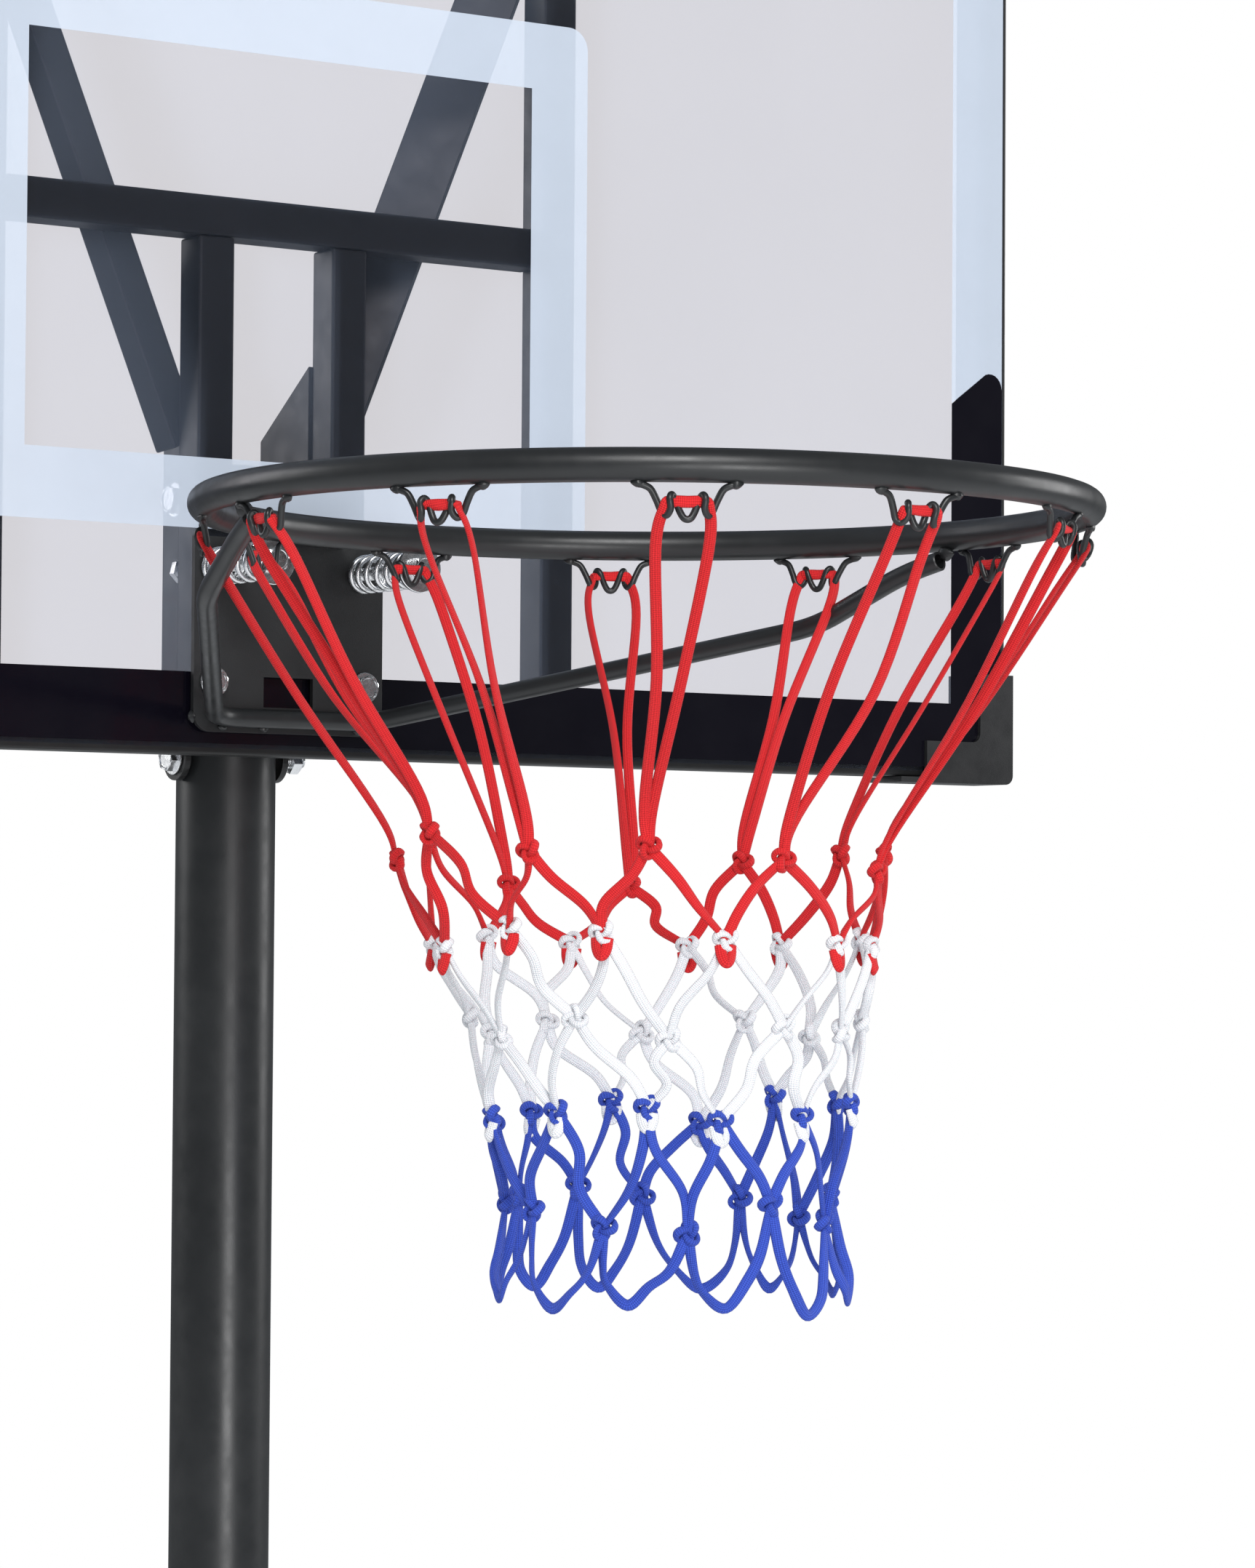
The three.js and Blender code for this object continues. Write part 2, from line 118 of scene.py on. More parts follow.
def make_light():
    """A white backdrop as the camera sees it, a dim room in reflections, and four soft boxes."""
    world = bpy.data.worlds.new("studio")
    bpy.context.scene.world = world
    world.use_nodes = True
    nodes, links = world.node_tree.nodes, world.node_tree.links
    nodes.clear()
    seen = nodes.new("ShaderNodeBackground")
    seen.inputs[0].default_value = (1, 1, 1, 1)
    room = nodes.new("ShaderNodeBackground")
    room.inputs[0].default_value = (0.9, 0.95, 1, 1)
    room.inputs[1].default_value = 0.55
    mirrored = nodes.new("ShaderNodeBackground")
    mirrored.inputs[0].default_value = (0.9, 0.95, 1, 1)
    mirrored.inputs[1].default_value = 0.16
    path = nodes.new("ShaderNodeLightPath")
    shine = nodes.new("ShaderNodeMixShader")
    mix = nodes.new("ShaderNodeMixShader")
    out = nodes.new("ShaderNodeOutputWorld")
    links.new(path.outputs["Is Glossy Ray"], shine.inputs[0])
    links.new(room.outputs[0], shine.inputs[1])
    links.new(mirrored.outputs[0], shine.inputs[2])
    links.new(path.outputs["Is Camera Ray"], mix.inputs[0])
    links.new(shine.outputs[0], mix.inputs[1])
    links.new(seen.outputs[0], mix.inputs[2])
    links.new(mix.outputs[0], out.inputs[0])
    target = (RING.x, RING.y, RING.z)
    area_light("key", (-1.6, -3.6, 4.6), target, 1.6, 1.6, 120)
    area_light("fill", (4.4, -1.1, 3.0), target, 1.6, 2.4, 60)
    area_light("front", (-0.9, -4.2, 1.3), target, 1.2, 1.2, 55)
    area_light("back", (-2.2, 2.6, 3.4), target, 1.5, 2.0, 50)
    bpy.context.scene.view_settings.view_transform = "Standard"


def make_stage():
    bpy.ops.mesh.primitive_circle_add(vertices=128, radius=8, fill_type="NGON", location=(0, 0, -0.001))
    floor = bpy.context.object
    floor.name = "floor"
    floor.data.materials.append(principled("pale_floor", (0.86, 0.86, 0.86), 0.7)[0])


# ---------------- materials

def principled(name, color, roughness, metallic=0.0):
    material = bpy.data.materials.new(name)
    material.use_nodes = True
    shader = material.node_tree.nodes["Principled BSDF"]
    shader.inputs["Base Color"].default_value = (*color, 1)
    shader.inputs["Roughness"].default_value = roughness
    shader.inputs["Metallic"].default_value = metallic
    return material, shader


class Graph:
    """Short calls for a material's nodes."""

    def __init__(self, material, shader=None):
        self.shader = shader
        self.nodes = material.node_tree.nodes
        self.links = material.node_tree.links

    def add(self, kind, **values):
        node = self.nodes.new(kind)
        for key, value in values.items():
            setattr(node, key, value)
        return node

    def link(self, source, target):
        self.links.new(source, target)

    def drive(self, name, source):
        """Connects a value to one of the shader's own inputs."""
        self.link(source, self.shader.inputs[name])

    def place(self, kind="Object"):
        return self.add("ShaderNodeTexCoord").outputs[kind]

    def noise(self, where, scale, detail=3.0, roughness=0.55):
        node = self.add("ShaderNodeTexNoise")
        node.inputs["Scale"].default_value = scale
        node.inputs["Detail"].default_value = detail
        node.inputs["Roughness"].default_value = roughness
        self.link(where, node.inputs["Vector"])
        return node.outputs["Fac"]

    def stretch(self, where, scale):
        node = self.add("ShaderNodeMapping")
        node.inputs["Scale"].default_value = scale
        self.link(where, node.inputs["Vector"])
        return node.outputs[0]

    def spread(self, value, low, high, to_low, to_high):
        node = self.add("ShaderNodeMapRange")
        for key, number in zip((1, 2, 3, 4), (low, high, to_low, to_high)):
            node.inputs[key].default_value = number
        self.link(value, node.inputs[0])
        return node.outputs[0]

    def math(self, operation, a, b):
        node = self.add("ShaderNodeMath", operation=operation)
        for socket, value in zip(node.inputs, (a, b)):
            if isinstance(value, (int, float)):
                socket.default_value = value
            else:
                self.link(value, socket)
        return node.outputs[0]

    def blend(self, share, first, second):
        node = self.add("ShaderNodeMix", data_type="RGBA")
        sockets = (node.inputs[0], node.inputs[6], node.inputs[7])
        for socket, value in zip(sockets, (share, first, second)):
            if isinstance(value, tuple):
                socket.default_value = (*value, 1)
            elif isinstance(value, (int, float)):
                socket.default_value = value
            else:
                self.link(value, socket)
        return node.outputs[2]

    def bump(self, height, distance, strength=1.0, normal=None):
        node = self.add("ShaderNodeBump")
        node.inputs["Distance"].default_value = distance
        node.inputs["Strength"].default_value = strength
        self.link(height, node.inputs["Height"])
        if normal is not None:
            self.link(normal, node.inputs["Normal"])
        return node.outputs[0]


def coated_steel(name, color, rough, grain=2500.0, depth=0.00003, dust=0.25):
    """Powder-coated steel: fine orange peel, slow cloudiness and a little paler in random cloudy patches."""
    material, shader = principled(name, color, rough)
    g = Graph(material, shader)
    where = g.place()
    peel = g.noise(where, grain, 2.0)
    cloud = g.noise(where, 9.0, 4.0)
    pale = tuple(min(1.0, c * 1.9 + 0.01) for c in color)
    wear = g.math("MULTIPLY", g.spread(cloud, 0.35, 0.75, 0.0, 1.0), dust)
    g.drive("Base Color", g.blend(wear, color, pale))
    patches = g.spread(g.noise(where, 60.0), 0.3, 0.7, rough - 0.05, rough + 0.07)
    g.drive("Roughness", patches)
    g.drive("Normal", g.bump(peel, depth, 0.6))
    return material


def zinc_plate():
    """Bright zinc: metal with fine cloudy spangle, patchy roughness and fine bumps."""
    material, shader = principled("zinc_plate", (0.66, 0.67, 0.68), 0.24, 1.0)
    g = Graph(material, shader)
    where = g.place()
    cloud = g.noise(where, 120.0, 2.0)
    g.drive("Base Color", g.blend(cloud, (0.72, 0.73, 0.75), (0.92, 0.93, 0.94)))
    g.drive("Roughness", g.spread(g.noise(where, 300.0), 0.3, 0.7, 0.2, 0.32))
    g.drive("Normal", g.bump(g.noise(where, 700.0), 0.00001, 0.3))
    return material


def moulded_plastic(name, color, rough, grain=1200.0, depth=0.00008):
    """Injection-moulded plastic with a spark-eroded grain."""
    material, shader = principled(name, color, rough)
    g = Graph(material, shader)
    where = g.place()
    cloud = g.noise(where, 14.0, 3.0)
    pale = tuple(min(1.0, c * 1.7 + 0.006) for c in color)
    g.drive("Base Color", g.blend(g.spread(cloud, 0.4, 0.8, 0.0, 0.6), color, pale))
    patches = g.spread(g.noise(where, 90.0), 0.3, 0.7, rough - 0.06, rough + 0.06)
    g.drive("Roughness", patches)
    g.drive("Normal", g.bump(g.noise(where, grain, 2.0), depth, 0.7))
    return material


def clear_sheet():
    """Clear plastic sheet: it passes most light, greys it a little and shines at its face."""
    material = principled("clear_sheet", (0.8, 0.8, 0.82), 0.06)[0]
    g = Graph(material)
    where = g.place()
    haze = g.noise(where, 5.0, 5.0)
    through = g.add("ShaderNodeBsdfTransparent")
    g.link(g.blend(g.spread(haze, 0.35, 0.7, 0.0, 1.0), (0.88, 0.87, 0.885), (0.868, 0.858, 0.873)),
           through.inputs[0])
    face = g.add("ShaderNodeBsdfGlossy")
    face.inputs["Roughness"].default_value = 0.08
    face.inputs[0].default_value = (0.9, 0.92, 0.95, 1)
    fresnel = g.add("ShaderNodeFresnel")
    fresnel.inputs[0].default_value = 1.35
    g.link(g.bump(g.noise(where, 26.0, 3.0), 0.0004, 0.08), face.inputs["Normal"])
    veil = g.add("ShaderNodeMixShader")
    milk = g.add("ShaderNodeBsdfTranslucent")
    milk.inputs[0].default_value = (0.56, 0.68, 0.9, 1)
    veil.inputs[0].default_value = 0.08
    g.link(through.outputs[0], veil.inputs[1])
    g.link(milk.outputs[0], veil.inputs[2])
    whole = g.add("ShaderNodeMixShader")
    g.link(g.math("MULTIPLY", fresnel.outputs[0], 0.45), whole.inputs[0])
    g.link(veil.outputs[0], whole.inputs[1])
    g.link(face.outputs[0], whole.inputs[2])
    g.link(whole.outputs[0], g.nodes["Material Output"].inputs[0])
    return material


def printed_ink(name, color, painted_glow, thin=0.0, rough=0.16):
    """Screen-printed ink under a glossy face, with an emission glow that is painted light to brighten it;
    `thin` is the share of light that passes through it.
    """
    material, shader = principled(name, color, rough)
    g = Graph(material, shader)
    where = g.place()
    pale = tuple(min(1.0, c * 1.06 + 0.004) for c in color)
    g.drive("Base Color", g.blend(g.noise(where, 30.0, 4.0), color, pale))
    g.drive("Normal", g.bump(g.noise(where, 2000.0, 1.0), 0.00001, 0.3))
    # Painted glow: the ink emits its own colour as a stand-in for light falling on it.
    shader.inputs["Emission Color"].default_value = (*color, 1)
    shader.inputs["Emission Strength"].default_value = painted_glow
    shader.inputs["Alpha"].default_value = 1 - thin
    shader.inputs["Specular IOR Level"].default_value = 0.3
    return material


def braided_cord(name, color, painted_groove_shade):
    """Flat braid: two sets of strands cross at an angle; the grooves between strands carry painted shade,
    and fine hairy noise gives slightly uneven dye.
    """
    material, shader = principled(name, color, 0.75)
    g = Graph(material, shader)
    uv = g.add("ShaderNodeUVMap").outputs[0]
    split = g.add("ShaderNodeSeparateXYZ")
    g.link(uv, split.inputs[0])
    around, along = split.outputs[0], split.outputs[1]
    across = g.math("MULTIPLY", around, 8 * TURN)
    length = g.math("MULTIPLY", along, TURN / (2.1 * MM))
    one = g.math("SINE", g.math("ADD", across, length), 0.0)
    two = g.math("SINE", g.math("SUBTRACT", across, length), 0.0)
    weave = g.math("MULTIPLY", g.math("ADD", g.math("MULTIPLY", one, two), 1.0), 0.5)
    where = g.place()
    fibre = g.noise(where, 2600.0, 2.0)
    # Painted shade: the weave darkens the colour in the grooves between strands; the fibre noise adds uneven
    # dye.
    groove_shade_and_dye = g.math("ADD", g.math("MULTIPLY", weave, 0.95), g.math("MULTIPLY", fibre, 0.25))
    g.drive("Base Color", g.blend(groove_shade_and_dye, painted_groove_shade, color))
    first = g.bump(weave, 0.0005, 0.8)
    g.drive("Normal", g.bump(fibre, 0.00012, 0.6, first))
    shader.inputs["Specular IOR Level"].default_value = 0.3
    shader.inputs["Sheen Weight"].default_value = 0.05
    shader.inputs["Sheen Roughness"].default_value = 0.5
    shader.inputs["Subsurface Weight"].default_value = 0.08
    shader.inputs["Subsurface Radius"].default_value = (0.002, 0.001, 0.001)
    return material


# ---------------- mesh building

def round_section(radius, sides=16):
    angles = [TURN * i / sides for i in range(sides)]
    return [(radius * math.cos(a), radius * math.sin(a)) for a in angles]


def circle_row(centre, axis, reach, sides):
    """A loop of points round an axis; `reach` is one radius, or a list with one for each point."""
    side = axis.orthogonal().normalized()
    third = axis.cross(side)
    reaches = reach if isinstance(reach, list) else [reach] * sides
    return [Vector(centre) + (side * math.cos(TURN * k / sides) + third * math.sin(TURN * k / sides)) * r
            for k, r in enumerate(reaches)]


def level_circle(centre, radius, height, steps=64):
    return [Vector((centre[0] + x, centre[1] + y, height)) for x, y in round_section(radius, steps)]


def box_section(a, b):
    return [(-a, -b), (a, -b), (a, b), (-a, b)]


def flat_section(half_width, half_thick, sides=14):
    """A flat cord's cross-section: an oval with full, round edges."""
    pairs = []
    for i in range(sides):
        c, s = math.cos(TURN * i / sides), math.sin(TURN * i / sides)
        pairs.append((half_width * math.copysign(abs(c) ** 0.8, c),
                      half_thick * math.copysign(abs(s) ** 0.8, s)))
    return pairs


def smooth_path(points, steps, closed=False):
    """A Catmull-Rom curve through the points, with the same number of steps in each span."""
    points = [Vector(p) for p in points]
    count = len(points)
    spans = count if closed else count - 1
    path = []
    for i in range(spans):
        if closed:
            a, b, c, d = (points[(i + k) % count] for k in (-1, 0, 1, 2))
        else:
            b, c = points[i], points[i + 1]
            a = points[i - 1] if i else b * 2 - c
            d = points[i + 2] if i + 2 < count else c * 2 - b
        for k in range(steps):
            t = k / steps
            bend, twist = 2 * a - 5 * b + 4 * c - d, 3 * b - a - 3 * c + d
            path.append(0.5 * (2 * b + (c - a) * t + bend * t * t + twist * t ** 3))
    if not closed:
        path.append(points[-1])
    return path


def rounded_corners(points, radius, steps=8):
    """Straight stretches joined by short smooth bends."""
    points = [Vector(p) for p in points]
    path = [points[0]]
    for before, corner, after in zip(points, points[1:], points[2:]):
        start = corner + (before - corner).normalized() * radius
        end = corner + (after - corner).normalized() * radius
        for k in range(steps + 1):
            t = k / steps
            path.append(start * (1 - t) ** 2 + corner * 2 * t * (1 - t) + end * t * t)
    path.append(points[-1])
    return path


class Shell:
    """Collects swept and turned surfaces, then makes one piece of them."""

    def __init__(self):
        self.verts = []
        self.faces = []
        self.uvs = []

    def rings(self, rows, closed_rows=False, caps=True, length_of=None):
        """Joins rows of points, each a closed loop, into a skin."""
        base = len(self.verts)
        sides = len(rows[0])
        for row in rows:
            self.verts.extend(row)
        lengths = length_of or [0.0] * (len(rows) + 1)
        last = len(rows) if closed_rows else len(rows) - 1
        for i in range(last):
            j = (i + 1) % len(rows)
            for k in range(sides):
                m = (k + 1) % sides
                self.faces.append((base + i * sides + k, base + i * sides + m,
                                   base + j * sides + m, base + j * sides + k))
                u0, u1 = k / sides, (k + 1) / sides
                v0, v1 = lengths[i], lengths[i + 1]
                self.uvs.append(((u0, v0), (u1, v0), (u1, v1), (u0, v1)))
        if caps and not closed_rows:
            first = [base + k for k in reversed(range(sides))]
            final = [base + (len(rows) - 1) * sides + k for k in range(sides)]
            for face in (first, final):
                self.faces.append(tuple(face))
                self.uvs.append(tuple((0.0, 0.0) for _ in face))

    def sweep(self, path, section, outward=None, twist=None, closed=False, caps=True):
        """Carries a section along a path. `outward` gives the section's second axis at a point."""
        count = len(path)
        rows = []
        lengths = [0.0]
        carried = None
        for i, point in enumerate(path):
            after = path[(i + 1) % count] if closed or i + 1 < count else point
            before = path[i - 1] if closed or i else point
            tangent = (after - before).normalized()
            if outward is not None:
                normal = Vector(outward(point))
            elif carried is None:
                normal = tangent.orthogonal()
            else:
                normal = carried
            normal = (normal - tangent * normal.dot(tangent)).normalized()
            carried = normal
            if twist is not None:
                normal = Quaternion(tangent, twist(i / max(1, count - 1))) @ normal
            side = normal.cross(tangent)
            rows.append([point + side * a + normal * b for a, b in section])
            lengths.append(lengths[-1] + (after - point).length)
        self.rings(rows, closed, caps, lengths)

    def turned(self, profile, centre, axis="z", sides=64, closed=False):
        """Turns (radius, height) pairs about an axis; the profile ends on the axis, or closes."""
        rows = []
        for i in range(sides):
            c, s = math.cos(TURN * i / sides), math.sin(TURN * i / sides)
            row = []
            for radius, height in profile:
                local = (radius * c, radius * s, height)
                if axis == "x":
                    local = (height, radius * c, radius * s)
                if axis == "y":
                    local = (radius * s, height, radius * c)
                row.append(Vector(centre) + Vector(local))
            rows.append(row)
        base = len(self.verts)
        size = len(profile)
        for row in rows:
            self.verts.extend(row)
        last = size if closed else size - 1
        for i in range(sides):
            j = (i + 1) % sides
            for k in range(last):
                m = (k + 1) % size
                self.faces.append((base + i * size + k, base + j * size + k,
                                   base + j * size + m, base + i * size + m))
                u0, u1 = i / sides, (i + 1) / sides
                v0, v1 = profile[k][1], profile[m][1]
                self.uvs.append(((u0, v0), (u1, v0), (u1, v1), (u0, v1)))

    def piece(self, name, material, body, slot, replaces=(), smooth=35):
        mesh = bpy.data.meshes.new(name)
        mesh.from_pydata([tuple(v) for v in self.verts], [], self.faces)
        layer = mesh.uv_layers.new(name="UVMap")
        corner = 0
        for face in self.uvs:
            for uv in face:
                layer.data[corner].uv = uv
                corner += 1
        obj = bpy.data.objects.new(name, mesh)
        link_in(obj)
        tidy_mesh(obj, smooth)
        mesh.materials.append(material)
        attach(obj, body)
        if replaces:
            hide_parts(*replaces)
        return obj


def tidy_mesh(obj, smooth):
    """Merges doubled points, turns every face outward and shades by angle."""
    import bmesh
    work = bmesh.new()
    work.from_mesh(obj.data)
    bmesh.ops.remove_doubles(work, verts=work.verts, dist=1e-6)
    bmesh.ops.recalc_face_normals(work, faces=work.faces)
    work.to_mesh(obj.data)
    work.free()
    obj.data.shade_smooth()
    obj.data.set_sharp_from_angle(angle=math.radians(smooth))


def soften(node, width, material, segments=3):
    """Keeps a CAD node, with its edges rounded by a modifier."""
    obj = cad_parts[node]
    weld = obj.modifiers.new("weld", "WELD")
    weld.merge_threshold = 1e-5
    if width:
        bevel = obj.modifiers.new("bevel", "BEVEL")
        bevel.width = width
        bevel.segments = segments
        bevel.limit_method = "ANGLE"
        bevel.angle_limit = math.radians(40)
        bevel.harden_normals = False
    paint(node, material)


def paint(node, material):
    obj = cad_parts[node]
    obj.data.materials.clear()
    obj.data.materials.append(material)


def radial(point):
    """The direction from the ring's axis out to a point."""
    away = Vector((point.x - RING.x, point.y - RING.y, 0))
    return away if away.length > 1e-6 else Vector((1, 0, 0))


def on_net(angle, radius, drop):
    return RING + Vector((radius * math.cos(angle), radius * math.sin(angle), -drop))


# ---------------- steelwork of the rim

def make_ring(steel):
    shell = Shell()
    path = [on_net(TURN * i / 220, RING_RADIUS, 0) for i in range(220)]
    shell.sweep(path, round_section(RING_WIRE, 28), outward=radial, closed=True)
    shell.piece("ring_tube", steel, "rim", "steel", ["ring"])


def weld_blob(shell, place, size, along):
    """A small uneven bead of weld."""
    rows = []
    along = Vector(along).normalized()
    steps, sides = 9, 12
    lumps = [random.uniform(0.85, 1.15) for _ in range(sides)]
    for i in range(steps):
        t = i / (steps - 1)
        reach = size * max(0.05, math.sin(math.pi * (0.04 + 0.92 * t)))
        centre = Vector(place) + along * size * 3 * (t - 0.5)
        rows.append(circle_row(centre, along, [reach * lump for lump in lumps], sides))
    shell.rings(rows)


def support_rod_route():
    half = [(222, 30, -14.6), (215, 54, -21), (200, 116, -48)]
    route = [Vector((RING.x + x * MM, RING.y + y * MM, RING.z + z * MM)) for x, y, z in half]
    plate_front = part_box("rim_plate")[1].y - 3.5 * MM
    route.append(Vector((RING.x + 54 * MM, plate_front - 5.8 * MM, RING.z - 99 * MM)))
    return route + [Vector((-p.x, p.y, p.z)) for p in reversed(route)]


def make_support_rod(steel):
    """One bent tube with open ends under the ring."""
    shell = Shell()
    route = support_rod_route()
    path = rounded_corners(route, 16 * MM)
    shell.sweep(path, round_section(5.6 * MM, 20), caps=False)
    for end, inward in ((path[0], path[1]), (path[-1], path[-2])):
        along = (inward - end).normalized()
        bore = [end, end + along * 9 * MM]
        shell.sweep(bore, round_section(4.2 * MM, 20), caps=False)
        mouth = ((5.6, 0.0), (5.2, -0.5), (4.2, -0.2), (4.2, 9.0), (0.3, 9.0))
        rows = [circle_row(end + along * depth * MM, along, radius * MM, 20) for radius, depth in mouth]
        shell.rings(rows, caps=False)
    shell.piece("bent_support_rod", steel, "rim", "steel", ["support_rod"])


def make_rod_welds(steel):
    shell = Shell()
    route = support_rod_route()
    for point in (route[0], route[-1]):
        away = radial(point).normalized()
        seat = point + away * 5 * MM + up(4.5)
        weld_blob(shell, seat, 4.2 * MM, away.cross((0, 0, 1)))
    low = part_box("rim_plate")[0]
    for x in (-46, -18, 22, 47):
        weld_blob(shell, (x * MM, route[3].y + 4 * MM, route[3].z - 5.6 * MM), 2.2 * MM, (1, 0.05, 0))
    weld_blob(shell, (low.x - 1.0 * MM, route[3].y + 6 * MM, route[3].z), 2.6 * MM, (0, 0.3, 1))
    for sign in (-1, 1):
        corner = RING + Vector((sign * 62 * MM, 233 * MM, 4.5 * MM))
        weld_blob(shell, corner, 2.6 * MM, (1, 0, 0))
    shell.piece("rim_welds", steel, "rim", "steel")


def hook_points():
    """A hook's bent wire in mm, as (along the ring, outward, up): foot, leg, eye, then mirrored."""
    half = [(-23.5, 0, -9.4), (-21, 0, -9.9), (-17.5, -0.6, -11.8), (-14.6, -1.6, -17),
            (-12.2, -2.4, -22.4), (-9.9, -0.8, -24.2), (-8.2, 1.8, -21), (-8.6, 2.8, -16.6),
            (-7.6, 1, -14.4), (-5.8, -0.5, -16.6), (-3.6, -0.4, -22.4), (-1.4, 0, -25.8)]
    return half + [(-t, r, z) for t, r, z in reversed(half)]


def make_hooks(steel):
    for i in range(HOOKS):
        angle = TURN * i / HOOKS
        out = Vector((math.cos(angle), math.sin(angle), 0))
        along = Vector((-math.sin(angle), math.cos(angle), 0))
        centre = on_net(angle, RING_RADIUS, 0)
        lean = random.uniform(-0.06, 0.06)
        points = [centre + along * (t + lean * z) * MM + out * r * MM + Vector((0, 0, z * MM))
                  for t, r, z in hook_points()]
        shell = Shell()
        shell.sweep(smooth_path(points, 7), round_section(1.75 * MM, 12), outward=lambda p, a=out: a)
        for foot in (points[0], points[-1]):
            weld_blob(shell, foot + up(0.6), 2.5 * MM, along)
        name = f"net_hook_{i + 1:02d}"
        shell.piece(f"wire_{name}", steel, "rim", "steel", [name])


# ---------------- fasteners and springs

def hexagon(radius, samples=48):
    """Distances from the centre to a hexagon's side, all the way round."""
    flat = radius * math.cos(math.pi / 6)
    angles = [TURN * i / samples for i in range(samples)]
    return [flat / math.cos((a + math.pi / 6) % (math.pi / 3) - math.pi / 6) for a in angles]


def hex_piece(shell, centre, axis, radius, low, high, dish=0.0):
    """A hexagonal head or nut from `low` to `high` along its axis, with its corners chamfered."""
    axis = Vector(axis)
    flat = radius * math.cos(math.pi / 6)
    depth = high - low
    reaches = hexagon(radius)
    stations = [(low, 1e9), (low + depth * 0.78, 1e9), (low + depth * 0.9, radius * 0.975),
                (high, flat * 0.97), (high, flat * 0.86), (high - dish, flat * 0.8),
                (high - dish, 0.02 * flat)]
    rows = []
    for height, limit in stations:
        capped = [min(reach, limit) for reach in reaches]
        rows.append(circle_row(Vector(centre) + axis * height, axis, capped, len(capped)))
    shell.rings(rows)


def disc(shell, centre, axis_name, radius, low, high, bore=0.0, edge=0.4 * MM):
    profile = [(bore, low), (radius - edge, low), (radius, low + edge), (radius, high - edge),
               (radius - edge, high), (bore, high)]
    shell.turned(profile, centre, axis_name, 40, closed=bore > 0)


def threaded_end(shell, centre, axis, radius, low, high, pitch=1.25 * MM):
    """A screw's end: grooves all round, close enough to read as thread."""
    axis = Vector(axis)
    turns = max(1, round((high - low) / pitch))
    rows = []
    for i in range(turns * 4 + 1):
        height = low + (high - low) * i / (turns * 4)
        reach = radius * (1.0, 0.94, 0.86, 0.94)[i % 4]
        if i == turns * 4:
            reach = radius * 0.8
        rows.append(circle_row(Vector(centre) + axis * height, axis, reach, 20))
    shell.rings(rows)


def make_plate_bolts(zinc):
    """Flanged bolts through the rim plate's lower corners, with nuts behind the frame."""
    for side in ("left", "right"):
        node = f"plate_bolt_{side}"
        low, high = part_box(node)
        centre = (low + high) / 2
        face = low.y + 5.5 * MM
        at = Vector((centre.x, face, centre.z))
        shell = Shell()
        disc(shell, at, "y", 9.2 * MM, -1.6 * MM, 0)
        hex_piece(shell, at, (0, -1, 0), 7.6 * MM, 1.2 * MM, 5.4 * MM, dish=0.5 * MM)
        threaded_end(shell, at, (0, 1, 0), 4 * MM, -0.5 * MM, high.y - face)
        hex_piece(shell, Vector((at.x, high.y - 8 * MM, at.z)), (0, 1, 0), 7.4 * MM, 0, 6 * MM)
        shell.piece(f"flanged_{node}", zinc, "upper", "zinc", [node])


def make_spring_bolts(zinc):
    for side in ("left", "right"):
        low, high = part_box(f"spring_bolt_{side}")
        centre = (low + high) / 2
        face = low.y + 6 * MM
        at = Vector((centre.x, face, centre.z))
        shell = Shell()
        hex_piece(shell, at, (0, -1, 0), 7.6 * MM, 0, 6 * MM, dish=0.4 * MM)
        threaded_end(shell, at, (0, 1, 0), 4 * MM, -0.5 * MM, high.y - face)
        hex_piece(shell, Vector((at.x, high.y - 8 * MM, at.z)), (0, 1, 0), 7.4 * MM, 0, 6 * MM)
        shell.piece(f"threaded_spring_bolt_{side}", zinc, "upper", "zinc", [f"spring_bolt_{side}"])
        washer_low, washer_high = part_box(f"spring_washer_{side}")
        washer = Shell()
        seat = Vector((centre.x, washer_low.y, centre.z))
        disc(washer, seat, "y", 14.5 * MM, 0, washer_high.y - washer_low.y, 4.4 * MM)
        washer.piece(f"cup_washer_{side}", zinc, "upper", "zinc", [f"spring_washer_{side}"])


def make_springs(zinc):
    """Compression springs with closed ends."""
    turns = 6.5
    wire, coil = 1.75 * MM, 10.1 * MM
    for side in ("left", "right"):
        node = f"rim_spring_{side}"
        low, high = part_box(node)
        centre = (low + high) / 2
        start, end = low.y + wire, high.y - wire
        steps = int(turns * 28)
        path = []
        for i in range(steps + 1):
            t = i / steps
            eased = t - 0.045 * math.sin(TURN * t)
            angle = TURN * turns * t + (0.6 if side == "left" else 2.2)
            path.append(Vector((centre.x + coil * math.cos(angle), start + (end - start) * eased,
                                centre.z + coil * math.sin(angle))))
        shell = Shell()
        shell.sweep(path, round_section(wire, 14),
                    outward=lambda p, c=centre: Vector((p.x - c.x, 0, p.z - c.z)))
        piece = shell.piece(f"coil_{node}", zinc, "upper", "zinc", [node])
        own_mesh(piece)


def make_pole_bolts(zinc):
    for node in ("pole_bolt_lower", "pole_bolt_upper"):
        low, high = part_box(node)
        centre = (low + high) / 2
        at = Vector((low.x + 6 * MM, centre.y, centre.z))
        shell = Shell()
        disc(shell, at, "x", 10.6 * MM, -1.4 * MM, 0.1 * MM)
        hex_piece(shell, at, (-1, 0, 0), 9.0 * MM, 1.2 * MM, 6.4 * MM, dish=0.6 * MM)
        threaded_end(shell, at, (1, 0, 0), 4.8 * MM, -0.5 * MM, high.x - at.x)
        nut = Vector((high.x - 10 * MM, centre.y, centre.z))
        hex_piece(shell, nut, (1, 0, 0), 8.6 * MM, 0, 6.5 * MM)
        shell.piece(f"hex_{node}", zinc, "upper", "zinc", [node])


# ---------------- net

CORD = flat_section(2.95 * MM, 1.4 * MM)
# each row's half step round, radius, drop below the ring and share of the net's drift to one side
ROWS = {
    "red_knot": (0.0, 130, 186, 0.0),
    "junction": (0.5, 118, 226, 0.5),
    "white_knot": (0.0, 101, 275, 0.8),
    "blue_top": (0.5, 94, 320, 1.0),
    "blue_knot": (0.0, 88, 369, 1.0),
    "bottom": (0.5, 95, 416, 1.0),
}
DRIFT = Vector((12 * MM, -8 * MM, 0))


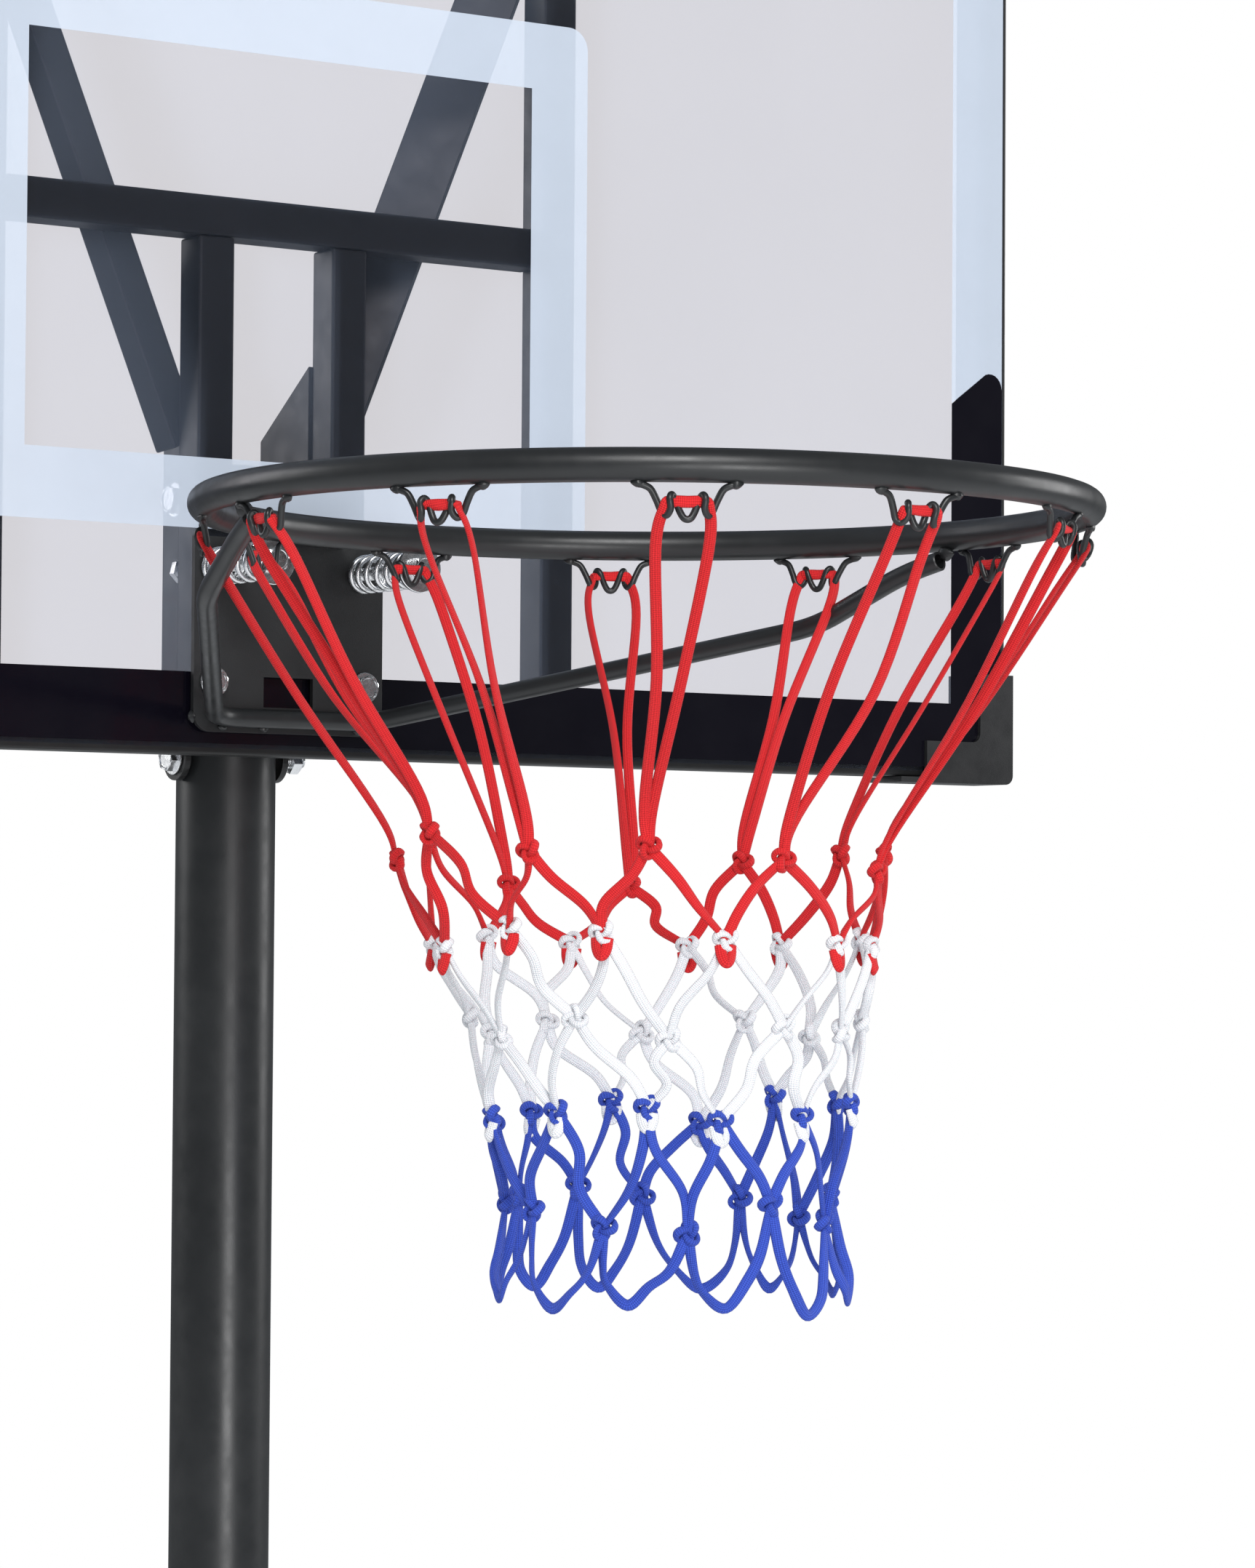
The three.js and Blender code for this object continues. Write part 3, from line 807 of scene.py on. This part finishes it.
def net_points():
    """Every knot's place: rows of twelve, each half a step round from the row above, none quite regular."""
    places = {}
    jitter = {"red_knot": 13, "bottom": 4}
    for row, (shift, radius, drop, share) in ROWS.items():
        for i in range(HOOKS):
            angle = TURN * (i + shift) / HOOKS + random.uniform(-0.07, 0.07)
            away = radius + random.uniform(-4, 4)
            fall = drop + random.uniform(-1, 1) * jitter.get(row, 8)
            places[row, i] = on_net(angle, away * MM, fall * MM) + DRIFT * share
    return places


def cord_between(shell, a, b, sag, sway, steps=9):
    """One length of flat cord from knot to knot, a little slack and turning as it goes."""
    out = radial((a + b) / 2).normalized()
    side = out.cross((0, 0, 1))
    bow = random.uniform(-1, 1)
    first = a.lerp(b, 0.33) + out * sag + side * sway * bow
    second = a.lerp(b, 0.67) + out * sag * 0.8 - side * sway * random.uniform(-1, 1)
    turn = random.uniform(-1.3, 1.3)
    start = random.uniform(-0.7, 0.7)
    path = smooth_path([a, first, second, b], steps)
    shell.sweep(path, CORD, outward=radial, twist=lambda t: start + turn * t)


def knot(shell, place, tilt, size=1.0):
    """A tight overhand knot: the cord's own trefoil, pulled flat against the net."""
    out = radial(place).normalized()
    side = out.cross((0, 0, 1)).normalized()
    rise = Vector((0, 0, 1))
    width, height, depth = 1.85 * MM * size, 1.75 * MM * size, 1.9 * MM * size
    path = []
    steps = 60
    for i in range(steps):
        t = TURN * i / steps
        x = math.sin(t) + 2 * math.sin(2 * t)
        y = math.cos(t) - 2 * math.cos(2 * t)
        z = -math.sin(3 * t)
        across = (x * math.cos(tilt) - y * math.sin(tilt)) * width
        upward = (x * math.sin(tilt) + y * math.cos(tilt)) * height
        path.append(place + side * across + rise * upward + out * z * depth)
    shell.sweep(path, flat_section(2.3 * MM, 1.45 * MM, 10), outward=lambda p: p - place, closed=True)


def hanging_loop(shell, top, fall, spread, out_tilt):
    """A short loop of the upper cord that hangs through the knot below it."""
    out = radial(top).normalized()
    side = out.cross((0, 0, 1)).normalized()
    points = []
    for i in range(7):
        t = math.pi * i / 6
        points.append(top + side * spread * math.cos(t) - Vector((0, 0, 1)) * fall * math.sin(t)
                      + out * out_tilt * math.sin(t))
    shell.sweep(smooth_path(points, 5), CORD, outward=radial, twist=lambda t: 0.5)


def make_net(red, white, blue):
    places = net_points()
    red_shell, white_shell, blue_shell = Shell(), Shell(), Shell()
    for i in range(HOOKS):
        angle = TURN * i / HOOKS
        out = Vector((math.cos(angle), math.sin(angle), 0))
        along = Vector((-math.sin(angle), math.cos(angle), 0))
        centre = on_net(angle, RING_RADIUS, 0)
        top = places["red_knot", i]
        # over the two eyes of the hook and down both sides to the first knot
        eye = up(-17.8)
        spread = random.uniform(8, 12) * MM
        legs = []
        for sign in (-1, 1):
            shoulder = centre + along * sign * 10.6 * MM + eye + up(-2.6)
            hip = shoulder.lerp(top, 0.12) + along * sign * (spread - 7 * MM)
            belly = shoulder.lerp(top, 0.5) + along * sign * random.uniform(-5, 11) * MM
            ankle = top + along * sign * 2.2 * MM + up(22)
            ankle += radial(top).normalized() * 9 * MM
            legs.append([shoulder, hip, belly, ankle])
        crown = centre + eye
        over = [crown - along * 7.5 * MM, crown + out * 0.5 * MM, crown + along * 7.5 * MM]
        route = [top, *reversed(legs[0]), *over, *legs[1], top]
        start, turn = random.uniform(-0.5, 0.5), random.uniform(-2.2, 2.2)
        red_shell.sweep(smooth_path(route, 8), CORD, outward=radial,
                        twist=lambda t, s=start, w=turn: s + w * math.sin(TURN * t))
        knot(red_shell, top, random.uniform(-0.5, 0.5), 1.05)
        for below in (i, (i - 1) % HOOKS):
            cord_between(red_shell, top, places["junction", below], 2 * MM, 7 * MM)
            cord_between(blue_shell, places["blue_top", below], places["blue_knot", i], 2 * MM, 7 * MM)
            cord_between(white_shell, places["junction", below], places["white_knot", i], 2 * MM, 7 * MM)
            cord_between(white_shell, places["white_knot", i], places["blue_top", below], 2 * MM, 6 * MM)
        junction = places["junction", i]
        hanging_loop(red_shell, junction + up(-3), 9 * MM, 3.2 * MM, 2 * MM)
        knot(white_shell, junction, random.uniform(-0.5, 0.5), 1.05)
        knot(white_shell, places["white_knot", i], random.uniform(-1.5, 1.5), 1.1)
        blue_top = places["blue_top", i]
        hanging_loop(white_shell, blue_top + up(-3), 8 * MM, 3.2 * MM, 2 * MM)
        knot(blue_shell, blue_top, random.uniform(-0.4, 0.4), 1.1)
        knot(blue_shell, places["blue_knot", i], random.uniform(-1.5, 1.5), 1.15)
        low = places["bottom", i]
        left, right = places["blue_knot", i], places["blue_knot", (i + 1) % HOOKS]
        across = (right - left) * 0.5
        lift = up(10)
        points = [left, left.lerp(low, 0.5) - across * 0.3, low - across * 0.5 + lift, low,
                  low + across * 0.5 + lift, right.lerp(low, 0.5) + across * 0.3, right]
        start = random.uniform(-0.4, 0.4)
        blue_shell.sweep(smooth_path(points, 7), CORD, outward=radial,
                         twist=lambda t, s=start: s + 0.9 * math.sin(TURN * t))
    red_shell.piece("net_cord_red", red, "rim", "net_red", ["net_red"], 180)
    white_shell.piece("net_cord_white", white, "rim", "net_white", ["net_white"], 180)
    blue_shell.piece("net_cord_blue", blue, "rim", "net_blue", ["net_blue"], 180)


# ---------------- board prints

def flat_print(name, outer, holes, material, thickness=0.1 * MM, lift=0.15 * MM):
    """A printed area on the board's face: an outline in (x, height) with holes cut out of it."""
    data = bpy.data.curves.new(name, "CURVE")
    data.dimensions = "2D"
    data.fill_mode = "BOTH"
    data.extrude = thickness / 2
    for outline in (outer, *holes):
        spline = data.splines.new("POLY")
        spline.points.add(len(outline) - 1)
        for point, (x, z) in zip(spline.points, outline):
            point.co = (x, z, 0, 1)
        spline.use_cyclic_u = True
    curve = bpy.data.objects.new(name + "_outline", data)
    link_in(curve)
    bpy.context.view_layer.update()
    mesh = bpy.data.meshes.new_from_object(curve)
    bpy.data.objects.remove(curve)
    mesh.name = name
    mesh.transform(Matrix.Translation((0, BOARD_FACE - lift, 0)) @ Matrix.Rotation(math.pi / 2, 4, "X"))
    obj = bpy.data.objects.new(name, mesh)
    link_in(obj)
    tidy_mesh(obj, 30)
    mesh.materials.clear()
    mesh.materials.append(material)
    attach(obj, "upper")
    return obj


def rectangle(half, low, high, corner=0.0, steps=8):
    """A rectangle about x = 0 in (x, height), its corners rounded."""
    pairs = []
    for cx, cz, begin in ((half, high, 0), (-half, high, 1), (-half, low, 2), (half, low, 3)):
        if corner == 0:
            pairs.append((cx, cz))
            continue
        for k in range(steps + 1):
            angle = (begin + k / steps) * math.pi / 2
            pairs.append((cx - math.copysign(corner, cx) + corner * math.cos(angle),
                          (cz - corner if begin < 2 else cz + corner) + corner * math.sin(angle)))
    return pairs


def make_prints(pale_ink_painted_glow, dark_ink):
    """The target box, the pale border, and the dark border that rises at both lower corners."""
    z = RING.z
    target = rectangle(216.2 * MM, z + 13 * MM, z + 340 * MM, 14 * MM)
    window = rectangle(174.6 * MM, z + 55 * MM, z + 299 * MM)
    flat_print("print_target_box", target, [window], pale_ink_painted_glow)
    inner, outer = 507.3 * MM, 549.3 * MM
    low, sill = BOARD_LOW.z + 2.5 * MM, z - 72 * MM
    rise, crest = z + 125.6 * MM, z + 147 * MM
    top, lintel = BOARD_HIGH.z - 3 * MM, BOARD_HIGH.z - 45 * MM
    slope = [(inner, rise)]
    bend = 10 * MM
    for k in range(8):
        angle = math.radians(112 - k * 16)
        slope.append((outer - bend + bend * math.cos(angle), crest - bend + bend * math.sin(angle)))
    dark = [(-x, h) for x, h in reversed(slope)]
    dark += [(-inner, sill), (inner, sill)] + slope + [(outer, low), (-outer, low)]
    flat_print("print_dark_border", dark, [], dark_ink)
    gap = 0.4 * MM
    pale_slope = [(x, h + gap) for x, h in slope]
    side = pale_slope[:-1] + [(outer, crest - bend + gap)]
    pale = [(inner, lintel), *side, (outer, top), (-outer, top)]
    pale += [(-x, h) for x, h in reversed(side)] + [(-inner, lintel)]
    flat_print("print_pale_border", pale, [], pale_ink_painted_glow)


# ---------------- poles and base

def make_poles(steel, plastic):
    low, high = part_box("upper_pole")
    radius = (high.x - low.x) / 2
    upper = Shell()
    bore = radius - 1.8 * MM
    upper.turned([(bore, low.z), (radius, low.z), (radius, high.z - 0.8 * MM), (radius - 0.8 * MM, high.z),
                  (bore, high.z)], (0, 0, 0), "z", 128, closed=True)
    upper.piece("upper_pole_tube", steel, "upper", "steel", ["upper_pole"], 40)
    plug = Shell()
    plug.turned([(0, high.z + 3 * MM), (radius * 0.7, high.z + 2.6 * MM), (radius * 0.98, high.z + 0.6 * MM),
                 (radius * 0.9, high.z - 6 * MM), (0, high.z - 6 * MM)], (0, 0, 0), "z", 64)
    plug.piece("upper_pole_plug", plastic, "upper", "plastic")
    low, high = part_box("lower_pole")
    radius = (high.x - low.x) / 2
    lower = Shell()
    lower.turned([(radius - 2 * MM, low.z), (radius, low.z), (radius, high.z), (radius - 2 * MM, high.z)],
                 (0, 0, 0), "z", 128, closed=True)
    lower.piece("lower_pole_tube", steel, "base", "steel", ["lower_pole"], 40)
    low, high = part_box("pole_collar")
    collar = Shell()
    bore, lip = POLE_BORE, 30.75 * MM
    collar.turned([(bore, low.z), (40 * MM, low.z), (41.5 * MM, low.z + 2 * MM),
                   (41.5 * MM, low.z + 12 * MM), (43 * MM, low.z + 15 * MM),
                   (43 * MM, high.z - 9 * MM), (41 * MM, high.z - 2.5 * MM),
                   (38 * MM, high.z), (lip, high.z), (lip, high.z - 9.7 * MM), (bore, high.z - 9.7 * MM)],
                  (0, 0, 0), "z", 96, closed=True)
    for i in range(24):
        angle = TURN * (i + 0.5) / 24
        if abs(math.cos(angle)) > 0.25 or math.sin(angle) < 0:
            rib_at = Vector((math.cos(angle), math.sin(angle), 0))
            rib = [rib_at * 42.6 * MM + Vector((0, 0, low.z + 20 * MM)),
                   rib_at * 42.6 * MM + Vector((0, 0, high.z - 14 * MM))]
            collar.sweep(rib, round_section(1.2 * MM, 8), outward=lambda p, a=rib_at: a)
    collar.piece("ribbed_pole_collar", plastic, "base", "plastic", ["pole_collar"], 40)
    make_knob(plastic)
    low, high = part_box("strut_clamp")
    clamp = Shell()
    clamp.turned([(POLE_BORE, low.z), (38.6 * MM, low.z), (39 * MM, low.z + 0.6 * MM),
                  (39 * MM, high.z - 0.6 * MM), (38.6 * MM, high.z), (POLE_BORE, high.z)],
                 (0, 0, 0), "z", 96, closed=True)
    clamp.piece("strut_clamp_band", steel, "base", "steel", ["strut_clamp"], 40)


def make_knob(plastic):
    """A five-lobed clamp knob on its screw."""
    low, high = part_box("clamp_knob")
    centre = middle("clamp_knob")
    back = high.y
    shell = Shell()
    rows = []
    lobes, samples = 5, 90
    profile = [(0.35, -26), (0.8, -26), (0.93, -24.5), (1.0, -21), (1.0, -6), (0.94, -2.2), (0.8, -0.4),
               (0.45, 0), (0.3, -1.6), (0.02, -1.6)]
    for share, depth in profile:
        row = []
        for i in range(samples):
            angle = TURN * i / samples
            reach = (20.4 + 3.2 * math.cos(lobes * angle)) * share * MM
            row.append(Vector((reach * math.sin(angle), back + depth * MM,
                               centre.z + reach * math.cos(angle))))
        rows.append(row)
    shell.rings(rows)
    threaded_end(shell, Vector((0, back - 26 * MM, centre.z)), (0, -1, 0), 4.9 * MM, -1 * MM,
                 back - 26 * MM - low.y)
    shell.piece("lobed_clamp_knob", plastic, "clamp_knob", "plastic", ["clamp_knob"], 45)


def make_base(tank_plastic, plastic, rubber, zinc, steel):
    make_tank(tank_plastic)
    centre = middle("fill_cap")
    cap = Shell()
    rows = []
    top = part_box("fill_cap")[1].z
    profile = ((0.66, -38), (0.66, -18), (0.98, -17.8), (1.0, -16), (1.0, -5), (0.95, -1.6), (0.86, 0),
               (0.6, 0), (0.56, -2.5), (0.02, -2.5))
    for share, drop in profile:
        row = []
        for i in range(144):
            angle = TURN * i / 144
            grip = 1.0 if share < 0.98 else 1 - 0.02 * (0.5 + 0.5 * math.cos(36 * angle))
            reach = 36 * MM * share * grip
            row.append(Vector((centre.x + reach * math.cos(angle), centre.y + reach * math.sin(angle),
                               top + drop * MM)))
        rows.append(row)
    cap.rings(rows)
    grip_low = [centre.x - 17 * MM, centre.x + 17 * MM]
    cap.sweep([Vector((x, centre.y, top - 2.2 * MM)) for x in grip_low], flat_section(4 * MM, 2.1 * MM),
              outward=lambda p: (0, 0, 1))
    cap.piece("ribbed_fill_cap", plastic, "fill_cap", "plastic", ["fill_cap"], 40)
    for side in ("left", "right"):
        make_wheel(side, rubber, plastic)
        make_strut(side, steel, zinc)
    axle_low, axle_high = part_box("axle")
    axle = Shell()
    at = middle("axle")
    half = (axle_high.x - axle_low.x) / 2
    axle.turned([(0, -half), (4.6 * MM, -half), (6 * MM, 1.4 * MM - half), (6 * MM, half - 1.4 * MM),
                 (4.6 * MM, half), (0, half)], at, "x", 40)
    axle.piece("axle_bar", zinc, "base", "zinc", ["axle"], 40)


def tank_outline(inset, samples=14):
    """The tank's plan outline, drawn in by `inset`, as (x, y) points in order."""
    side, nose, front, shoulder, back = 0.36, 0.2, -0.215, -0.085, 0.9
    corner, tail = 0.06, 0.12
    pairs = []

    def arc(cx, cy, radius, begin, end):
        for k in range(samples + 1):
            angle = math.radians(begin + (end - begin) * k / samples)
            pairs.append((cx + radius * math.cos(angle), cy + radius * math.sin(angle)))

    small = 0.02
    arc(nose - small, front + small, small - inset, -90, 0)
    arc(nose + small, shoulder - small, small + inset, 180, 90)
    arc(side - corner, shoulder + corner, corner - inset, -90, 0)
    arc(side - tail, back - tail, tail - inset, 0, 90)
    arc(tail - side, back - tail, tail - inset, 90, 180)
    arc(corner - side, shoulder + corner, corner - inset, 180, 270)
    arc(-nose - small, shoulder - small, small + inset, 90, 0)
    arc(small - nose, front + small, small - inset, 180, 270)
    return pairs


def make_tank(material):
    """A blow-moulded tank: round edges, a pinch line half way up, and ribs on the top."""
    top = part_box("base_tank")[1].z
    levels = [(12, 0), (5, 2), (1.5, 7), (0.2, 14), (0, 20), (0, 66), (1.2, 69), (3.2, 71), (3.2, 74),
              (1.2, 76), (0, 79), (0, 128), (1, 136), (4, 143), (9, 148), (14, 150), (17.5, 150)]
    shell = Shell()
    rows = []
    for inset, height in levels:
        rows.append([Vector((x, y, height * MM * top / 0.15)) for x, y in tank_outline(inset * MM)])
    shell.rings(rows)
    shell.piece("ballast_tank", material, "base", "tank", ["base_tank"], 50)
    ribs = Shell()
    for x in (-0.23, -0.115, 0.0, 0.115):
        rib = [Vector((x, 0.2 + 0.05 * abs(x), top - 0.5 * MM)), Vector((x, 0.78, top - 0.5 * MM))]
        ribs.sweep(rib, flat_section(14 * MM, 3.4 * MM, 20), outward=lambda p: (0, 0, 1))
    pole_foot = level_circle((0, 0), 52 * MM, top)
    ribs.sweep(pole_foot, flat_section(8 * MM, 4 * MM, 16), outward=lambda p: (0, 0, 1), closed=True)
    neck = level_circle(middle("fill_cap"), 44 * MM, top)
    ribs.sweep(neck, flat_section(4 * MM, 3 * MM, 16), outward=lambda p: (0, 0, 1), closed=True)
    ribs.piece("tank_ribs", material, "base", "tank", smooth=60)


def make_wheel(side, rubber, plastic):
    """A moulded wheel: rounded tread with grooves, a dished hub with spokes."""
    low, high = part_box(f"wheel_{side}")
    centre = middle(f"wheel_{side}")
    radius, half = (high.z - low.z) / 2, (high.x - low.x) / 2
    tyre = Shell()
    profile = [(0.68, -0.82), (0.9, -0.92), (0.965, -0.8), (1.0, -0.5), (1.0, -0.2), (0.975, -0.15),
               (0.975, 0.15), (1.0, 0.2), (1.0, 0.5), (0.965, 0.8), (0.9, 0.92), (0.68, 0.82)]
    tyre.turned([(radius * r, half * x) for r, x in profile], centre, "x", 96, closed=True)
    tyre.piece(f"tread_wheel_{side}", rubber, f"wheel_{side}", "rubber", [f"wheel_{side}"], 40)
    hub = Shell()
    hub_profile = [(6.6, -17), (13, -19), (14.5, -17), (14.5, -8), (30, -8), (31, -16), (34.5, -16),
                   (34.5, 16), (31, 16), (30, 8), (14.5, 8), (14.5, 17), (13, 19), (6.6, 17)]
    hub.turned([(r * MM, x * MM) for r, x in hub_profile], centre, "x", 72, closed=True)
    for i in range(6):
        angle = TURN * i / 6
        for face in (-12.5, 12.5):
            away = Vector((0, math.cos(angle), math.sin(angle)))
            spoke = [centre + (Vector((face, 0, 0)) + away * r) * MM for r in (13, 31.5)]
            hub.sweep(spoke, box_section(2 * MM, 5 * MM), outward=lambda p: (1, 0, 0))
    hub.piece(f"hub_wheel_{side}", plastic, f"wheel_{side}", "plastic", smooth=40)


def make_strut(side, steel, zinc):
    """A round tube brace with flattened ends, bolted to the tank and to the clamp band."""
    sign = -1 if side == "left" else 1
    foot = Vector((sign * 0.230, 0.620, 0.162))
    head = Vector((sign * 0.054, 0.006, 0.820))
    along = (head - foot).normalized()
    length = (head - foot).length
    flat, full = (0.35, 1.3), (1.0, 1.0)
    stations = [(0.0, *flat), (0.035, *flat), (0.07, *full), (0.93, *full), (0.965, *flat), (1.0, *flat)]
    shell = Shell()
    normal = Vector((1, 0, 0)) - along * along.x
    normal.normalize()
    side_axis = along.cross(normal)
    rows = []
    for t, thick, wide in stations:
        rows.append([foot + along * length * t + side_axis * a * wide + normal * b * thick
                     for a, b in round_section(12.2 * MM, 24)])
    shell.rings(rows)
    shell.piece(f"strut_tube_{side}", steel, "base", "steel", [f"strut_{side}"], 50)
    lug = Shell()
    inner = foot + Vector((-sign * 7 * MM, -9 * MM, 2 * MM))
    lug.sweep([inner + up(-13.5), inner + up(16)],
              box_section(16 * MM, 2 * MM), outward=lambda p: (1, 0, 0))
    lug.piece(f"strut_foot_{side}", steel, "base", "steel", smooth=30)
    pins = Shell()
    foot_pin = inner + up(6)
    hex_piece(pins, foot_pin, (-sign, 0, 0), 7 * MM, 2 * MM, 7 * MM, dish=0.4 * MM)
    threaded_end(pins, foot_pin, (sign, 0, 0), 3.8 * MM, -2 * MM, 17 * MM)
    hex_piece(pins, foot_pin + Vector((sign * 12.5 * MM, 0, 0)), (sign, 0, 0), 6.6 * MM, 0, 5 * MM)
    head_pin = Vector((sign * 38 * MM, 0.012, 0.812))
    threaded_end(pins, head_pin, (sign, 0, 0), 3.8 * MM, 0, 28 * MM)
    hex_piece(pins, head_pin + Vector((sign * 21 * MM, 0, 0)), (sign, 0, 0), 7 * MM, 0, 5 * MM)
    pins.piece(f"strut_bolts_{side}", zinc, "base", "zinc", smooth=30)


# ---------------- frame and board

def dress_frame(steel, textured, plastic, clear):
    # Here `steel` is the frame's darker coat, whose extra darkness is painted shade; the tubes, braces and
    # pole bracket wear it.
    tubes = ["frame_top", "frame_bottom", "frame_cross_bar"]
    for side in ("left", "right"):
        tubes += [f"frame_side_{side}", f"frame_post_{side}", f"rim_post_{side}"]
        soften(f"brace_{side}", 2.5 * MM, steel)
        soften(f"corner_pad_low_{side}", 0.7 * MM, plastic, 2)
        soften(f"corner_pad_top_{side}", 0.7 * MM, plastic, 2)
    for node in tubes:
        soften(node, 1.6 * MM, steel)
    soften("pole_bracket", 0.5 * MM, steel, 2)
    soften("rim_plate", 0.5 * MM, textured, 2)
    paint("panel", clear)


def main():
    make_camera()
    make_light()
    make_stage()
    steel = coated_steel("satin_black_coat", (0.013, 0.014, 0.015), 0.36, 1500.0, 0.00004)
    # The frame coat is a darker copy of the black coat: painted shade for the frame seen through the clear
    # board.
    frame_coat_painted_shade = coated_steel("frame_black_coat_painted_shade", (0.006, 0.0062, 0.0065), 0.45)
    textured = coated_steel("textured_black_coat", (0.011, 0.0115, 0.0125), 0.5, 1700.0, 0.00018, 0.4)
    zinc = zinc_plate()
    plastic = moulded_plastic("black_plastic", (0.012, 0.0122, 0.013), 0.45)
    tank_plastic = moulded_plastic("tank_plastic", (0.02, 0.021, 0.023), 0.55, 500.0, 0.0003)
    rubber = moulded_plastic("wheel_rubber", (0.018, 0.018, 0.019), 0.7)
    # The pale ink carries a painted glow of 0.1; the dark ink has none.
    pale_ink_painted_glow = printed_ink("pale_ink_painted_glow", (0.58, 0.64, 0.73), 0.1, 0.42)
    dark_ink = printed_ink("dark_ink", (0.0015, 0.001, 0.004), 0.0)
    # Each cord's second colour is the painted shade in its braid's grooves.
    red = braided_cord("red_cord", (0.8, 0.022, 0.026), (0.42, 0.004, 0.007))
    white = braided_cord("white_cord", (0.95, 0.95, 0.96), (0.62, 0.63, 0.68))
    blue = braided_cord("blue_cord", (0.05, 0.11, 0.62), (0.012, 0.03, 0.26))
    make_ring(steel)
    make_support_rod(steel)
    make_rod_welds(steel)
    make_hooks(steel)
    make_plate_bolts(zinc)
    make_spring_bolts(zinc)
    make_springs(zinc)
    make_pole_bolts(zinc)
    make_net(red, white, blue)
    make_prints(pale_ink_painted_glow, dark_ink)
    make_poles(steel, plastic)
    make_base(tank_plastic, plastic, rubber, zinc, steel)
    dress_frame(frame_coat_painted_shade, textured, plastic, clear_sheet())


main()
